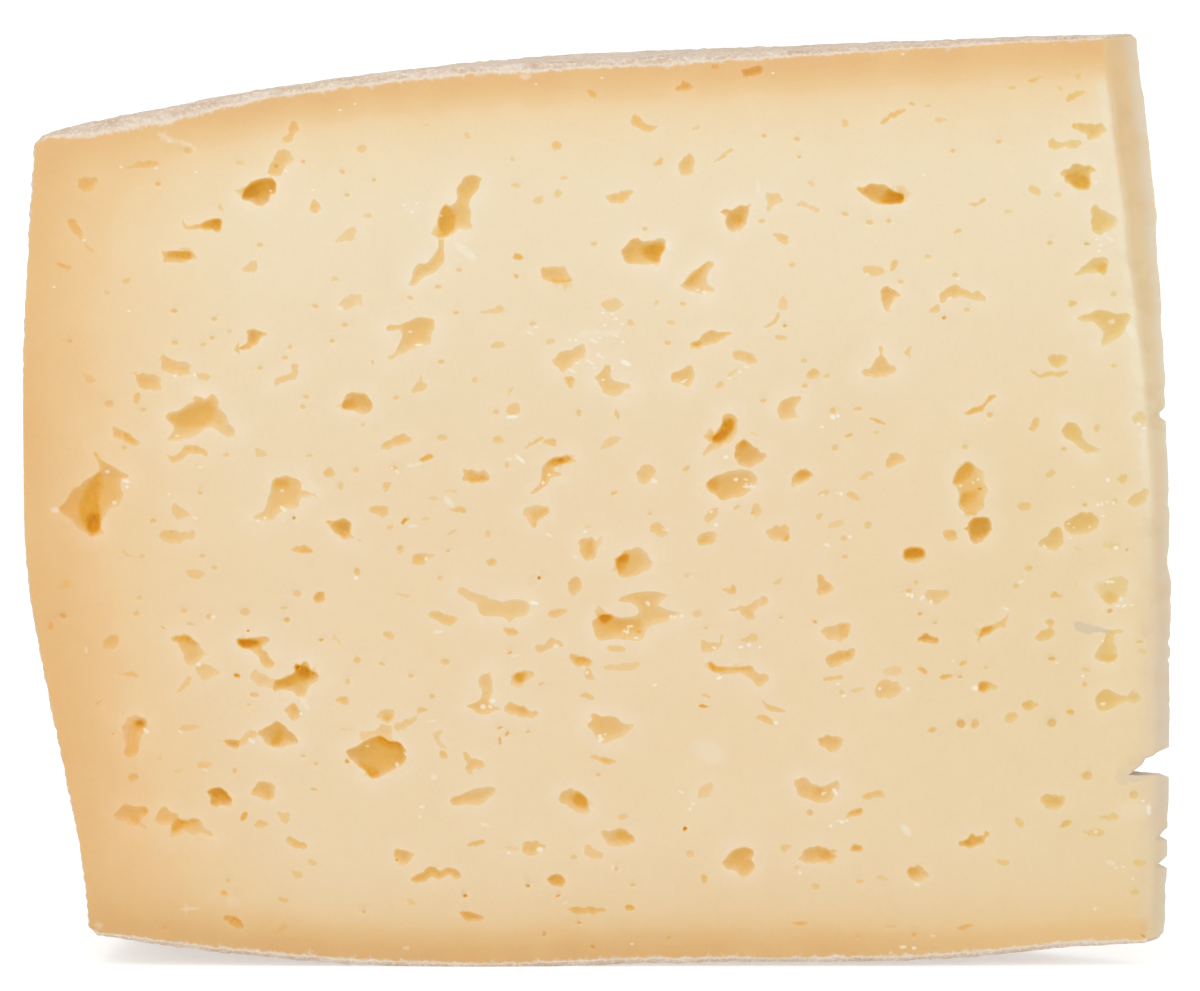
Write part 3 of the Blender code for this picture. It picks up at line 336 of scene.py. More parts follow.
    (0.32, [458, 589, 464, 587, 472, 592, 480, 596, 486, 595, 490, 600, 500, 601, 520, 600, 530, 603, 531, 609, 525, 616, 515, 616, 509, 622, 507, 618, 498, 617, 484, 615, 479, 610, 473, 600, 466, 599, 460, 595]),
    (0.42, [547, 613, 558, 609, 568, 610, 564, 614, 555, 618, 549, 616]),
    (0.34, [381, 634, 388, 631, 394, 634, 393, 640, 388, 639]),
    (0.42, [352, 660, 358, 656, 361, 661, 357, 664]),
    (0.2, [432, 735, 437, 731, 445, 731, 438, 736, 442, 745, 450, 749, 441, 748, 436, 742]),
    (0.45, [440, 751, 445, 751, 448, 759, 440, 757]),
    (0.42, [463, 752, 468, 752, 471, 760, 484, 761, 486, 766, 472, 769, 473, 776, 469, 772, 465, 769, 467, 762]),
    (0.6, [309, 789, 313, 788, 319, 790, 314, 790]),
    (0.45, [253, 789, 256, 784, 264, 781, 272, 783, 276, 788, 276, 796, 274, 800, 269, 803, 265, 799, 253, 795]),
    (0.48, [502, 629, 505, 628, 515, 629, 520, 634, 512, 636, 507, 634]),
    (0.34, [534, 650, 536, 646, 545, 645, 550, 638, 561, 641, 563, 647, 554, 646, 546, 650, 540, 653]),
    (0.5, [568, 656, 571, 654, 579, 656, 588, 658, 593, 662, 591, 665, 584, 666, 576, 666, 572, 661]),
    (0.28, [606, 648, 610, 646, 622, 646, 626, 650, 620, 652, 612, 651]),
    (0.18, [601, 668, 608, 665, 622, 664, 634, 662, 640, 663, 638, 668, 629, 671, 610, 670]),
    (0.32, [586, 668, 590, 669, 592, 675, 597, 680, 588, 680, 584, 678]),
    (0.42, [511, 685, 511, 681, 514, 674, 519, 672, 530, 671, 536, 674, 530, 678, 525, 681, 523, 687, 517, 687]),
    (0.55, [537, 686, 540, 683, 545, 682, 542, 684]),
    (0.36, [579, 696, 584, 693, 592, 695, 595, 701, 590, 699]),
    (0.42, [465, 706, 475, 705, 480, 700, 483, 690, 479, 684, 479, 679, 483, 674, 489, 673, 491, 670, 492, 678, 493, 684, 491, 690, 491, 698, 488, 703, 495, 707, 500, 709, 489, 712, 482, 715, 476, 711]),
    (0.48, [503, 710, 508, 703, 511, 703, 518, 705, 525, 708, 532, 712, 538, 712, 535, 717, 533, 718, 522, 717, 512, 714]),
    (0.42, [591, 715, 600, 716, 617, 717, 622, 725, 635, 724, 631, 731, 622, 737, 612, 742, 600, 743, 596, 735, 592, 730, 587, 725, 592, 720]),
    (0.36, [590, 757, 595, 754, 599, 758, 608, 758, 617, 762, 608, 765, 599, 761]),
    (0.85, [697, 706, 702, 704, 709, 707, 704, 708]),
    (0.4, [707, 662, 711, 662, 716, 666, 728, 668, 751, 666, 754, 670, 760, 674, 767, 675, 769, 680, 761, 687, 755, 683, 748, 676, 740, 672, 725, 674, 713, 672]),
    (0.3, [700, 640, 707, 642, 717, 644, 724, 635, 725, 638, 719, 647, 715, 651, 702, 652]),
    (0.42, [591, 622, 599, 616, 602, 614, 611, 614, 614, 617, 619, 619, 628, 618, 637, 616, 640, 612, 637, 606, 630, 602, 618, 602, 620, 597, 631, 594, 643, 593, 658, 593, 671, 594, 664, 600, 656, 605, 668, 610, 683, 614, 668, 621, 650, 627, 646, 633, 643, 640, 638, 641, 629, 639, 616, 638, 600, 640, 595, 635]),
    (0.34, [727, 610, 739, 608, 751, 604, 758, 600, 762, 597, 768, 596, 769, 600, 764, 606, 755, 607, 754, 619, 749, 620, 743, 615, 738, 610]),
    (0.24, [739, 641, 745, 638, 752, 633, 757, 634, 758, 641, 750, 642]),
    (0.34, [818, 632, 824, 629, 838, 624, 848, 622, 852, 624, 849, 632, 848, 639, 840, 642, 830, 640, 826, 635]),
    (0.46, [826, 657, 833, 653, 846, 650, 856, 649, 855, 656, 851, 660, 840, 665, 830, 668, 827, 663]),
    (0.72, [916, 640, 921, 636, 926, 633, 931, 636, 939, 639, 938, 644, 933, 643, 925, 642]),
    (0.16, [880, 672, 888, 667, 899, 666, 903, 670, 897, 677, 886, 676]),
    (0.58, [917, 668, 922, 667, 927, 671, 927, 675, 922, 672]),
    (0.55, [939, 676, 949, 674, 954, 676, 948, 678, 942, 680]),
    (0.36, [823, 681, 825, 677, 835, 677, 841, 675, 844, 678, 833, 680]),
    (0.34, [875, 687, 879, 682, 888, 680, 897, 681, 901, 687, 906, 690, 897, 696, 888, 698, 878, 698, 876, 692]),
    (0.18, [850, 691, 856, 688, 868, 687, 862, 691, 854, 693]),
    (0.34, [761, 699, 766, 704, 772, 706, 778, 708, 788, 712, 780, 712, 770, 711, 766, 708]),
    (0.42, [754, 718, 760, 715, 767, 716, 772, 720, 774, 725, 767, 723, 759, 719]),
    (0.48, [818, 742, 819, 738, 827, 736, 838, 737, 844, 739, 841, 747, 835, 753, 830, 751, 823, 747]),
    (0.52, [928, 731, 932, 727, 937, 728, 933, 733]),
    (0.42, [793, 780, 800, 778, 806, 778, 812, 784, 820, 787, 829, 784, 838, 780, 840, 783, 838, 791, 833, 798, 827, 802, 815, 802, 803, 798, 797, 790]),
    (0.44, [861, 798, 866, 794, 876, 791, 881, 790, 886, 797, 877, 797, 868, 799]),
    (0.2, [697, 797, 699, 790, 706, 783, 714, 783, 712, 792, 707, 798]),
    (0.45, [977, 640, 980, 635, 982, 628, 992, 625, 1001, 622, 1006, 617, 1008, 614, 1006, 622, 1005, 627, 1000, 627, 993, 631, 984, 636]),
    (0.42, [1044, 622, 1051, 619, 1055, 622, 1052, 625, 1051, 629, 1054, 631, 1055, 635, 1050, 638, 1044, 641, 1035, 640, 1037, 634, 1042, 631, 1049, 629, 1049, 625]),
    (0.34, [1103, 629, 1112, 630, 1125, 631, 1115, 634, 1113, 643, 1118, 652, 1118, 658, 1110, 663, 1104, 662, 1095, 659, 1097, 652, 1100, 645, 1106, 639, 1107, 633]),
    (0.48, [958, 665, 963, 661, 967, 661, 966, 664, 961, 666]),
    (0.5, [977, 687, 979, 682, 985, 681, 990, 683, 999, 687, 991, 690, 983, 693, 978, 691]),
    (0.48, [1022, 705, 1024, 702, 1030, 700, 1039, 705, 1033, 708, 1027, 711, 1023, 708]),
    (0.32, [1005, 717, 1008, 713, 1016, 712, 1018, 717, 1011, 724, 1005, 722]),
    (0.58, [1066, 712, 1070, 709, 1075, 712, 1071, 716]),
    (0.42, [1082, 687, 1084, 681, 1088, 685]),
    (0.4, [1094, 700, 1099, 693, 1104, 690, 1110, 690, 1118, 695, 1127, 696, 1131, 692, 1133, 689, 1139, 693, 1145, 700, 1139, 704, 1127, 702, 1118, 704, 1110, 710, 1101, 711, 1097, 705]),
    # the last band, above the bottom
    (0.42, [112, 816, 119, 810, 124, 804, 131, 806, 140, 807, 146, 807, 148, 811, 146, 816, 141, 818, 140, 822, 148, 828, 144, 831, 139, 826, 131, 827, 127, 822, 118, 820]),
    (0.38, [155, 821, 159, 811, 163, 806, 166, 807, 169, 812, 177, 814, 180, 820, 187, 821, 193, 818, 201, 820, 204, 828, 216, 835, 211, 839, 201, 834, 193, 836, 184, 831, 180, 836, 170, 838, 171, 831, 171, 824, 162, 825]),
    (0.7, [243, 812, 249, 812, 246, 818, 243, 822, 240, 820]),
    (0.55, [219, 893, 223, 890, 229, 893, 225, 896]),
    (0.66, [221, 918, 226, 916, 235, 916, 243, 923, 244, 929, 235, 928, 229, 922]),
    (0.26, [276, 812, 282, 813, 290, 813, 289, 820, 286, 825, 282, 821]),
    (0.4, [254, 826, 257, 821, 262, 820, 269, 824, 264, 827, 257, 828]),
    (0.45, [285, 839, 290, 836, 295, 840, 306, 844, 307, 848, 300, 849, 291, 846]),
    (0.25, [307, 860, 312, 859, 318, 864, 312, 867]),
    (0.25, [290, 871, 300, 871, 304, 877, 296, 879]),
    (0.32, [276, 898, 282, 897, 290, 901, 284, 903]),
    (0.2, [270, 934, 276, 930, 284, 922, 289, 926, 283, 934]),
    (0.18, [406, 899, 411, 898, 418, 905, 410, 905]),
    (0.52, [393, 855, 394, 850, 399, 849, 408, 852, 415, 854, 410, 860, 407, 865, 399, 866, 398, 860]),
    (0.62, [410, 880, 417, 876, 423, 872, 425, 868, 434, 867, 440, 872, 444, 870, 449, 867, 456, 869, 462, 876, 457, 878, 450, 875, 444, 877, 440, 878, 431, 876, 425, 881, 417, 883]),
    (0.64, [459, 913, 465, 911, 473, 913, 486, 918, 479, 921, 467, 921]),
    (0.5, [467, 846, 470, 843, 482, 840, 486, 841, 483, 844, 474, 846]),
    (0.44, [452, 797, 461, 795, 471, 791, 482, 787, 495, 787, 497, 794, 489, 800, 481, 805, 468, 804, 456, 805, 450, 803]),
    (0.44, [559, 796, 561, 793, 567, 790, 578, 790, 584, 796, 587, 800, 589, 807, 590, 813, 587, 815, 579, 813, 570, 807, 561, 802]),
    (0.26, [616, 818, 620, 814, 628, 815, 628, 818, 621, 820]),
    (1.0, [682, 831, 685, 825, 688, 830]),
    (0.5, [600, 831, 608, 831, 619, 829, 626, 830, 632, 835, 636, 840, 631, 843, 624, 846, 614, 847, 606, 844, 603, 839]),
    (0.42, [522, 844, 530, 841, 539, 842, 545, 845, 546, 850, 540, 853, 531, 856, 524, 854]),
    (0.3, [570, 858, 574, 854, 578, 858, 571, 860]),
    (0.22, [584, 853, 585, 846, 589, 844, 593, 849, 600, 852, 605, 855, 600, 859, 591, 858]),
    (0.7, [547, 880, 551, 875, 560, 874, 563, 877, 566, 882, 562, 887, 555, 886, 549, 883]),
    (0.55, [567, 910, 573, 907, 584, 908, 594, 907, 609, 911, 597, 913, 585, 914, 575, 913]),
    (0.68, [624, 905, 631, 905, 636, 909, 632, 910, 627, 911]),
    (0.42, [701, 879, 702, 874, 707, 876, 707, 880, 704, 885]),
    (0.56, [721, 863, 728, 857, 733, 850, 740, 848, 752, 848, 753, 855, 751, 861, 755, 866, 751, 874, 746, 878, 741, 876, 737, 872, 727, 868]),
    (0.3, [779, 848, 782, 845, 793, 845, 788, 849, 784, 853]),
    (0.52, [798, 860, 802, 855, 805, 849, 811, 848, 818, 846, 827, 849, 836, 851, 833, 854, 838, 856, 830, 864, 821, 862, 814, 864, 805, 863]),
    (0.62, [851, 851, 852, 846, 855, 844, 861, 846, 864, 849, 859, 853]),
    (0.64, [846, 817, 849, 812, 855, 810, 861, 808, 863, 810, 862, 814, 855, 816]),
    (0.44, [907, 873, 908, 868, 913, 867, 918, 865, 921, 867, 927, 871, 929, 876, 924, 881, 912, 881]),
    (0.3, [811, 886, 814, 883, 820, 885, 819, 889, 814, 890]),
    (0.22, [793, 869, 797, 865, 800, 867, 796, 870]),
    (0.22, [874, 877, 879, 875, 890, 880, 884, 881]),
    (0.42, [791, 923, 799, 921, 808, 922, 803, 926, 796, 925]),
    (0.4, [1040, 797, 1046, 794, 1056, 796, 1065, 795, 1064, 805, 1060, 809, 1051, 810, 1044, 806]),
    (0.36, [1014, 818, 1018, 817, 1024, 824, 1022, 828, 1018, 826]),
    (0.5, [1060, 828, 1063, 822, 1068, 820, 1073, 821, 1069, 825, 1064, 827]),
    (0.34, [1097, 817, 1107, 816, 1115, 813, 1119, 816, 1118, 819, 1110, 820]),
    (0.3, [1081, 832, 1090, 831, 1098, 828, 1106, 832, 1100, 837, 1090, 835]),
    (0.64, [959, 842, 963, 841, 969, 838, 972, 833, 978, 837, 984, 836, 985, 830, 990, 835, 985, 839, 983, 843, 976, 847, 967, 847, 960, 846]),
    (0.3, [996, 861, 1000, 859, 1010, 861, 1008, 865, 1002, 866]),
    (0.3, [1133, 861, 1139, 859, 1148, 862, 1142, 867, 1134, 865]),
    (0.5, [956, 929, 964, 925, 975, 924, 970, 927, 962, 930]),
]

# Deeper hollows inside the eyes above: the level of their painted shade, darker and more golden, and the outline.
HOLLOWS = [
    (0.85, [242, 198, 243, 189, 253, 184, 263, 182, 266, 184, 265, 188, 260, 190, 257, 197]),
    (0.72, [438, 238, 438, 221, 443, 206, 447, 206, 452, 210, 456, 218, 454, 228, 447, 236]),
    (0.75, [734, 219, 742, 216, 743, 221, 738, 224]),
    (0.85, [884, 196, 889, 188, 894, 192, 903, 193, 905, 197, 903, 203, 885, 204, 879, 201]),
    (0.72, [1065, 175, 1075, 174, 1085, 175, 1089, 179, 1090, 188, 1080, 189, 1071, 184]),
    (0.8, [200, 226, 212, 220, 221, 219, 220, 230, 210, 228]),
    (0.75, [169, 252, 190, 251, 192, 254, 190, 260, 183, 258, 172, 257]),
    (0.62, [168, 418, 182, 412, 196, 404, 210, 402, 215, 408, 212, 420, 206, 425, 196, 427, 182, 427, 174, 424]),
    (0.72, [341, 408, 344, 401, 352, 400, 356, 404, 356, 409, 346, 409]),
    (0.7, [551, 279, 565, 280, 572, 279, 572, 281, 561, 283, 552, 282]),
    (0.78, [640, 250, 652, 244, 664, 243, 664, 250, 660, 255, 659, 262, 654, 262, 646, 258]),
    (0.62, [684, 284, 690, 277, 698, 270, 706, 264, 702, 273, 697, 281, 690, 286]),
    (0.7, [691, 344, 700, 341, 701, 345, 697, 347]),
    (0.66, [1095, 268, 1107, 262, 1105, 274, 1098, 271]),
    (0.7, [124, 433, 128, 434, 133, 439, 135, 443, 125, 439]),
    (0.78, [93, 478, 100, 472, 101, 485, 98, 500, 100, 515, 100, 530, 92, 536, 86, 530, 80, 520, 78, 506, 84, 492]),
    (0.95, [87, 514, 99, 514, 99, 529, 93, 534, 87, 528]),
    (0.7, [273, 486, 276, 480, 282, 479, 288, 481, 289, 486, 286, 488, 279, 488]),
    (0.72, [468, 478, 480, 477, 488, 478, 489, 480, 472, 482]),
    (0.68, [334, 523, 345, 521, 350, 525, 349, 532, 346, 537, 339, 534]),
    (0.72, [299, 551, 309, 550, 313, 551, 309, 552, 301, 552]),
    (0.95, [552, 460, 558, 459, 563, 458, 565, 461, 563, 464, 557, 463]),
    (0.72, [546, 464, 551, 460, 558, 458, 570, 456, 572, 460, 562, 464, 553, 467]),
    (0.55, [533, 513, 540, 510, 548, 508, 548, 513, 541, 517, 536, 521, 535, 527, 533, 527, 533, 520]),
    (0.6, [588, 542, 592, 542, 593, 550, 590, 556, 587, 552]),
    (0.75, [616, 568, 616, 561, 620, 556, 628, 554, 630, 560, 626, 568, 621, 574]),
    (1.0, [617, 560, 621, 556, 627, 554, 629, 559, 625, 562, 618, 562]),
    (0.62, [698, 541, 707, 539, 709, 541, 702, 543]),
    (1.0, [724, 420, 733, 419, 734, 424, 733, 430, 728, 436, 724, 440, 719, 443, 714, 443, 711, 439, 711, 436, 716, 434, 720, 431, 722, 426]),
    (0.8, [740, 444, 743, 440, 747, 443, 745, 447, 741, 448]),
    (0.68, [707, 485, 710, 480, 717, 478, 720, 484, 716, 491, 710, 489]),
    (0.68, [797, 473, 802, 470, 809, 472, 811, 475, 806, 479, 797, 480]),
    (0.85, [785, 538, 789, 535, 788, 540, 784, 541]),
    (0.92, [904, 558, 904, 551, 910, 548, 918, 548, 924, 550, 925, 556, 921, 558, 914, 559, 908, 559]),
    (0.6, [953, 530, 956, 534, 955, 536, 952, 533]),
    (0.72, [953, 484, 955, 478, 958, 470, 963, 465, 967, 462, 973, 465, 974, 471, 970, 477, 963, 482]),
    (0.7, [960, 502, 961, 496, 966, 492, 978, 491, 976, 498, 970, 503, 964, 507]),
    (0.66, [965, 513, 976, 513, 976, 514, 966, 514]),
    (0.72, [971, 524, 977, 518, 987, 518, 991, 528, 986, 536, 977, 538, 971, 532]),
    (0.48, [1103, 596, 1107, 593, 1113, 593, 1118, 597, 1115, 601, 1109, 604]),
    (0.78, [175, 638, 186, 635, 192, 640, 197, 644, 195, 646, 187, 642, 177, 641]),
    (1.0, [237, 639, 256, 640, 260, 643, 255, 647, 249, 648, 243, 648, 238, 644]),
    (1.0, [134, 723, 137, 720, 143, 720, 145, 725, 142, 728, 136, 728]),
    (0.8, [209, 791, 221, 788, 228, 795, 231, 800, 224, 801, 214, 797]),
    (0.76, [275, 682, 290, 677, 297, 672, 295, 665, 300, 666, 304, 664, 309, 670, 317, 673, 312, 680, 300, 682, 288, 687, 276, 688]),
    (0.95, [295, 668, 296, 664, 301, 667, 306, 667, 310, 672, 309, 676, 301, 677, 297, 673]),
    (0.58, [291, 706, 295, 704, 298, 710, 293, 712]),
    (0.78, [271, 742, 276, 735, 280, 729, 283, 736, 279, 745, 272, 746]),
    (0.62, [383, 717, 392, 715, 391, 719, 387, 722]),
    (0.88, [377, 736, 383, 737, 388, 741, 400, 743, 402, 748, 390, 749, 380, 746]),
    (0.8, [358, 763, 366, 771, 371, 778, 380, 776, 376, 770, 366, 765]),
    (0.62, [263, 787, 268, 786, 270, 795, 268, 800, 264, 795]),
    (0.66, [574, 658, 582, 657, 590, 661, 586, 664, 577, 665]),
    (0.8, [514, 677, 516, 673, 525, 673, 525, 679, 521, 684, 515, 681]),
    (0.62, [516, 707, 525, 709, 526, 713, 517, 711]),
    (0.6, [599, 759, 608, 759, 612, 762, 606, 764]),
    (0.86, [708, 663, 712, 663, 716, 667, 728, 669, 722, 671, 713, 671, 710, 668]),
    (0.6, [728, 668, 751, 667, 752, 670, 735, 670]),
    (1.0, [598, 616, 602, 614, 611, 615, 613, 618, 607, 624, 603, 625, 599, 620]),
    (0.6, [600, 626, 612, 619, 628, 620, 642, 621, 640, 630, 620, 632, 606, 632]),
    (0.46, [838, 625, 848, 624, 849, 632, 846, 638, 839, 636]),
    (0.64, [831, 656, 848, 652, 851, 655, 848, 658, 836, 659]),
    (0.6, [812, 790, 822, 788, 824, 794, 816, 797]),
    (0.78, [979, 637, 981, 630, 984, 628, 992, 626, 993, 629, 990, 632, 984, 635]),
    (0.52, [1098, 659, 1104, 655, 1117, 655, 1115, 660, 1109, 662]),
    (0.72, [978, 688, 981, 683, 986, 682, 988, 687, 984, 692, 980, 691]),
    (0.66, [143, 809, 147, 809, 147, 814, 143, 815]),
    (0.56, [133, 818, 139, 817, 138, 823, 134, 825]),
    (0.76, [172, 827, 176, 818, 180, 820, 188, 821, 194, 819, 199, 821, 190, 824, 182, 828, 176, 832, 172, 831]),
    (0.8, [572, 801, 573, 795, 578, 792, 584, 796, 587, 800, 588, 807, 584, 809, 578, 807]),
    (0.64, [616, 833, 624, 832, 632, 838, 630, 841, 618, 840]),
    (0.66, [819, 851, 827, 851, 832, 856, 828, 860, 820, 858]),
    (0.64, [909, 875, 909, 869, 917, 868, 918, 874, 913, 876]),
    (0.52, [1045, 801, 1055, 798, 1062, 799, 1061, 805, 1050, 806]),
    (0.74, [961, 845, 968, 840, 974, 838, 978, 841, 972, 846]),
]

# Small eyes: across, down, length, width, turn in degrees, and the level of their painted shade, darker and more
# golden.
SPECKS = [
    (158, 184, 5, 4, 0, 0.35), (303, 162, 4, 3, 0, 0.35), (342, 172, 5, 4, 20, 0.3), (347, 195, 5, 3, 0, 0.3),
    (374, 180, 4, 3, 0, 0.3), (912, 104, 6, 3, 15, 0.3), (764, 136, 5, 4, 0, 0.25), (797, 139, 6, 4, 0, 0.25),
    (799, 157, 4, 3, 0, 0.3), (845, 214, 7, 4, 20, 0.25), (869, 222, 6, 4, -10, 0.25), (889, 221, 5, 4, 0, 0.25),
    (999, 142, 5, 4, 0, 0.25), (953, 151, 5, 4, 0, 0.25), (188, 150, 8, 7, 0, 0.22), (240, 163, 9, 4, 20, 0.14),
    (516, 186, 10, 5, 10, 0.14), (564, 178, 8, 4, 0, 0.14), (928, 106, 6, 3, 0, 0.15), (1012, 88, 8, 4, 0, 0.15),
    (1058, 195, 7, 5, 0, 0.15), (368, 216, 8, 5, 0, 0.14), (260, 245, 6, 4, 0, 0.25), (315, 306, 6, 4, 30, 0.25),
    (345, 325, 6, 4, 0, 0.25), (332, 341, 5, 4, 0, 0.25), (285, 358, 6, 4, 0, 0.2), (438, 287, 6, 4, 0, 0.25),
    (410, 298, 6, 4, 20, 0.2), (459, 270, 6, 4, 0, 0.2), (456, 313, 5, 3, 0, 0.3), (290, 347, 5, 4, 0, 0.2),
    (260, 368, 5, 4, 0, 0.25), (396, 398, 6, 4, 0, 0.2), (441, 362, 6, 4, 0, 0.25), (306, 397, 6, 4, 0, 0.22),
    (303, 407, 5, 4, 0, 0.22), (109, 404, 8, 7, 0, 0.25), (174, 311, 6, 4, 0, 0.3), (214, 319, 6, 4, 0, 0.25),
    (212, 338, 5, 4, 0, 0.25), (203, 345, 6, 4, 0, 0.2), (175, 343, 6, 4, 0, 0.25), (70, 341, 5, 4, 0, 0.3),
    (594, 244, 6, 4, 0, 0.2), (668, 343, 6, 4, 0, 0.25), (645, 229, 5, 4, 0, 0.25), (683, 304, 6, 4, 0, 0.2),
    (496, 412, 6, 4, 0, 0.22), (579, 413, 5, 7, 0, 0.22), (616, 413, 3, 7, 0, 0.3), (533, 324, 7, 4, 0, 0.2),
    (901, 282, 6, 4, 0, 0.22), (928, 257, 6, 4, 0, 0.2), (870, 223, 6, 4, 0, 0.22), (762, 221, 6, 4, 0, 0.22),
    (827, 376, 6, 4, 0, 0.2), (804, 361, 6, 4, 0, 0.2), (805, 386, 6, 4, 0, 0.2), (763, 401, 6, 4, 0, 0.22),
    (833, 411, 6, 6, 0, 0.25), (858, 409, 9, 4, 0, 0.2), (1050, 243, 5, 4, 0, 0.25), (955, 275, 6, 4, 0, 0.22),
    (967, 310, 6, 4, 0, 0.22), (944, 318, 4, 3, 0, 0.6), (1114, 366, 6, 4, 0, 0.2), (143, 410, 6, 4, 0, 0.22),
    (139, 598, 6, 4, 0, 0.2), (153, 521, 6, 4, 0, 0.25), (214, 568, 6, 4, 0, 0.2), (202, 556, 6, 4, 0, 0.2),
    (226, 455, 6, 4, 0, 0.2), (124, 448, 5, 4, 0, 0.2), (200, 493, 4, 3, 0, 0.35), (1087, 244, 5, 3, 10, 0.4),
    (356, 470, 6, 6, 0, 0.16), (341, 486, 5, 8, 0, 0.18), (442, 438, 10, 6, 0, 0.2), (394, 468, 8, 4, 10, 0.25),
    (297, 594, 8, 6, 0, 0.2), (440, 578, 5, 4, 0, 0.2), (448, 551, 4, 3, 0, 0.25), (309, 456, 7, 2, 0, 0.25),
    (294, 518, 3, 3, 0, 0.65), (363, 425, 5, 4, 0, 0.15), (507, 465, 4, 6, 0, 0.22), (539, 578, 3, 3, 0, 0.95),
    (618, 416, 3, 7, 0, 0.3), (588, 527, 8, 3, 0, 0.12), (488, 534, 6, 8, 0, 0.14), (650, 514, 4, 2, 20, 0.35),
    (687, 576, 4, 5, 0, 0.14), (835, 448, 7, 6, 0, 0.18), (845, 557, 6, 4, 0, 0.22), (909, 591, 6, 4, 0, 0.25),
    (753, 513, 4, 3, 0, 0.5), (990, 415, 6, 5, 0, 0.25), (1064, 449, 5, 4, 0, 0.25), (1085, 505, 5, 4, 0, 0.25),
    (965, 447, 6, 5, 0, 0.18), (945, 594, 10, 7, 0, 0.2), (63, 616, 7, 6, 30, 0.35), (51, 626, 5, 9, 0, 0.3),
    (136, 614, 6, 4, 0, 0.25), (184, 611, 6, 4, 0, 0.25), (209, 617, 6, 5, 0, 0.25), (245, 612, 9, 7, 0, 0.22),
    (248, 631, 3, 2, 0, 0.8), (98, 703, 10, 2, -35, 0.3), (113, 734, 2, 2, 0, 0.4), (249, 705, 4, 3, 0, 0.2),
    (160, 759, 3, 3, 0, 0.25), (171, 532, 4, 3, 0, 0.5), (287, 620, 6, 5, 0, 0.36), (321, 640, 4, 3, 0, 0.5),
    (337, 640, 3, 14, -35, 0.14), (445, 662, 9, 6, 0, 0.22), (382, 664, 6, 3, 20, 0.25), (411, 676, 5, 4, 0, 0.22),
    (348, 682, 5, 6, 0, 0.18), (284, 608, 8, 3, 0, 0.22), (254, 695, 9, 4, 10, 0.3), (303, 756, 5, 2, 0, 0.3),
    (316, 764, 4, 3, 0, 0.3), (510, 653, 5, 2, -20, 0.5), (500, 728, 6, 2, -15, 0.6), (507, 734, 3, 5, 30, 0.5),
    (500, 741, 2, 8, 0, 0.55), (528, 732, 4, 2, -30, 0.4), (706, 696, 10, 3, 20, 0.2), (697, 614, 9, 7, 0, 0.15),
    (706, 628, 5, 2, -10, 0.3), (781, 618, 4, 2, 0, 0.3), (815, 622, 4, 3, 30, 0.45), (842, 693, 4, 7, -30, 0.2),
    (598, 775, 4, 3, 0, 0.35), (920, 614, 4, 3, 0, 0.45), (935, 623, 4, 2, 0, 0.35), (1110, 611, 5, 4, 0, 0.45),
    (639, 632, 5, 3, 0, 0.72), (960, 677, 5, 3, 0, 0.35), (986, 668, 4, 3, 0, 0.2), (1052, 659, 7, 4, 0, 0.4),
    (1086, 670, 10, 4, 20, 0.15), (961, 724, 8, 8, 0, 0.38), (975, 724, 7, 9, 20, 0.3), (1052, 723, 8, 8, 0, 0.34),
    (1087, 776, 10, 8, 0, 0.28), (1140, 642, 7, 3, 0, 0.3), (1143, 652, 9, 5, 30, 0.15), (1134, 795, 8, 8, 20, 0.22),
    (228, 881, 6, 4, 0, 0.2), (165, 928, 8, 4, 0, 0.25), (364, 912, 3, 3, 0, 0.4), (465, 896, 4, 3, 0, 0.9),
    (528, 886, 4, 3, 25, 0.7), (558, 896, 5, 2, -25, 0.72), (579, 923, 4, 2, 0, 0.6), (544, 934, 4, 5, 0, 0.4),
    (593, 947, 5, 3, 15, 0.5), (669, 938, 5, 3, 0, 0.35), (633, 885, 6, 3, 0, 0.3), (690, 854, 8, 7, 0, 0.16),
    (810, 813, 6, 6, 0, 0.26), (860, 882, 8, 4, 0, 0.2), (891, 927, 12, 3, 0, 0.18), (914, 935, 5, 4, 0, 0.3),
    (857, 937, 9, 2, 0, 0.25), (1135, 893, 9, 6, 0, 0.18), (616, 869, 4, 5, 0, 0.25), (512, 849, 16, 6, 10, 0.1),
    (397, 860, 3, 3, 0, 0.75), (276, 166, 4, 3, 0, 0.75), (785, 326, 4, 3, 0, 0.45), (980, 489, 4, 2, 0, 1.0),
    (1127, 550, 3, 3, 0, 0.3), (1112, 546, 20, 7, 8, 0.12), (1143, 936, 5, 2, 30, 0.9), (912, 44, 4, 3, 0, 0.9),
]
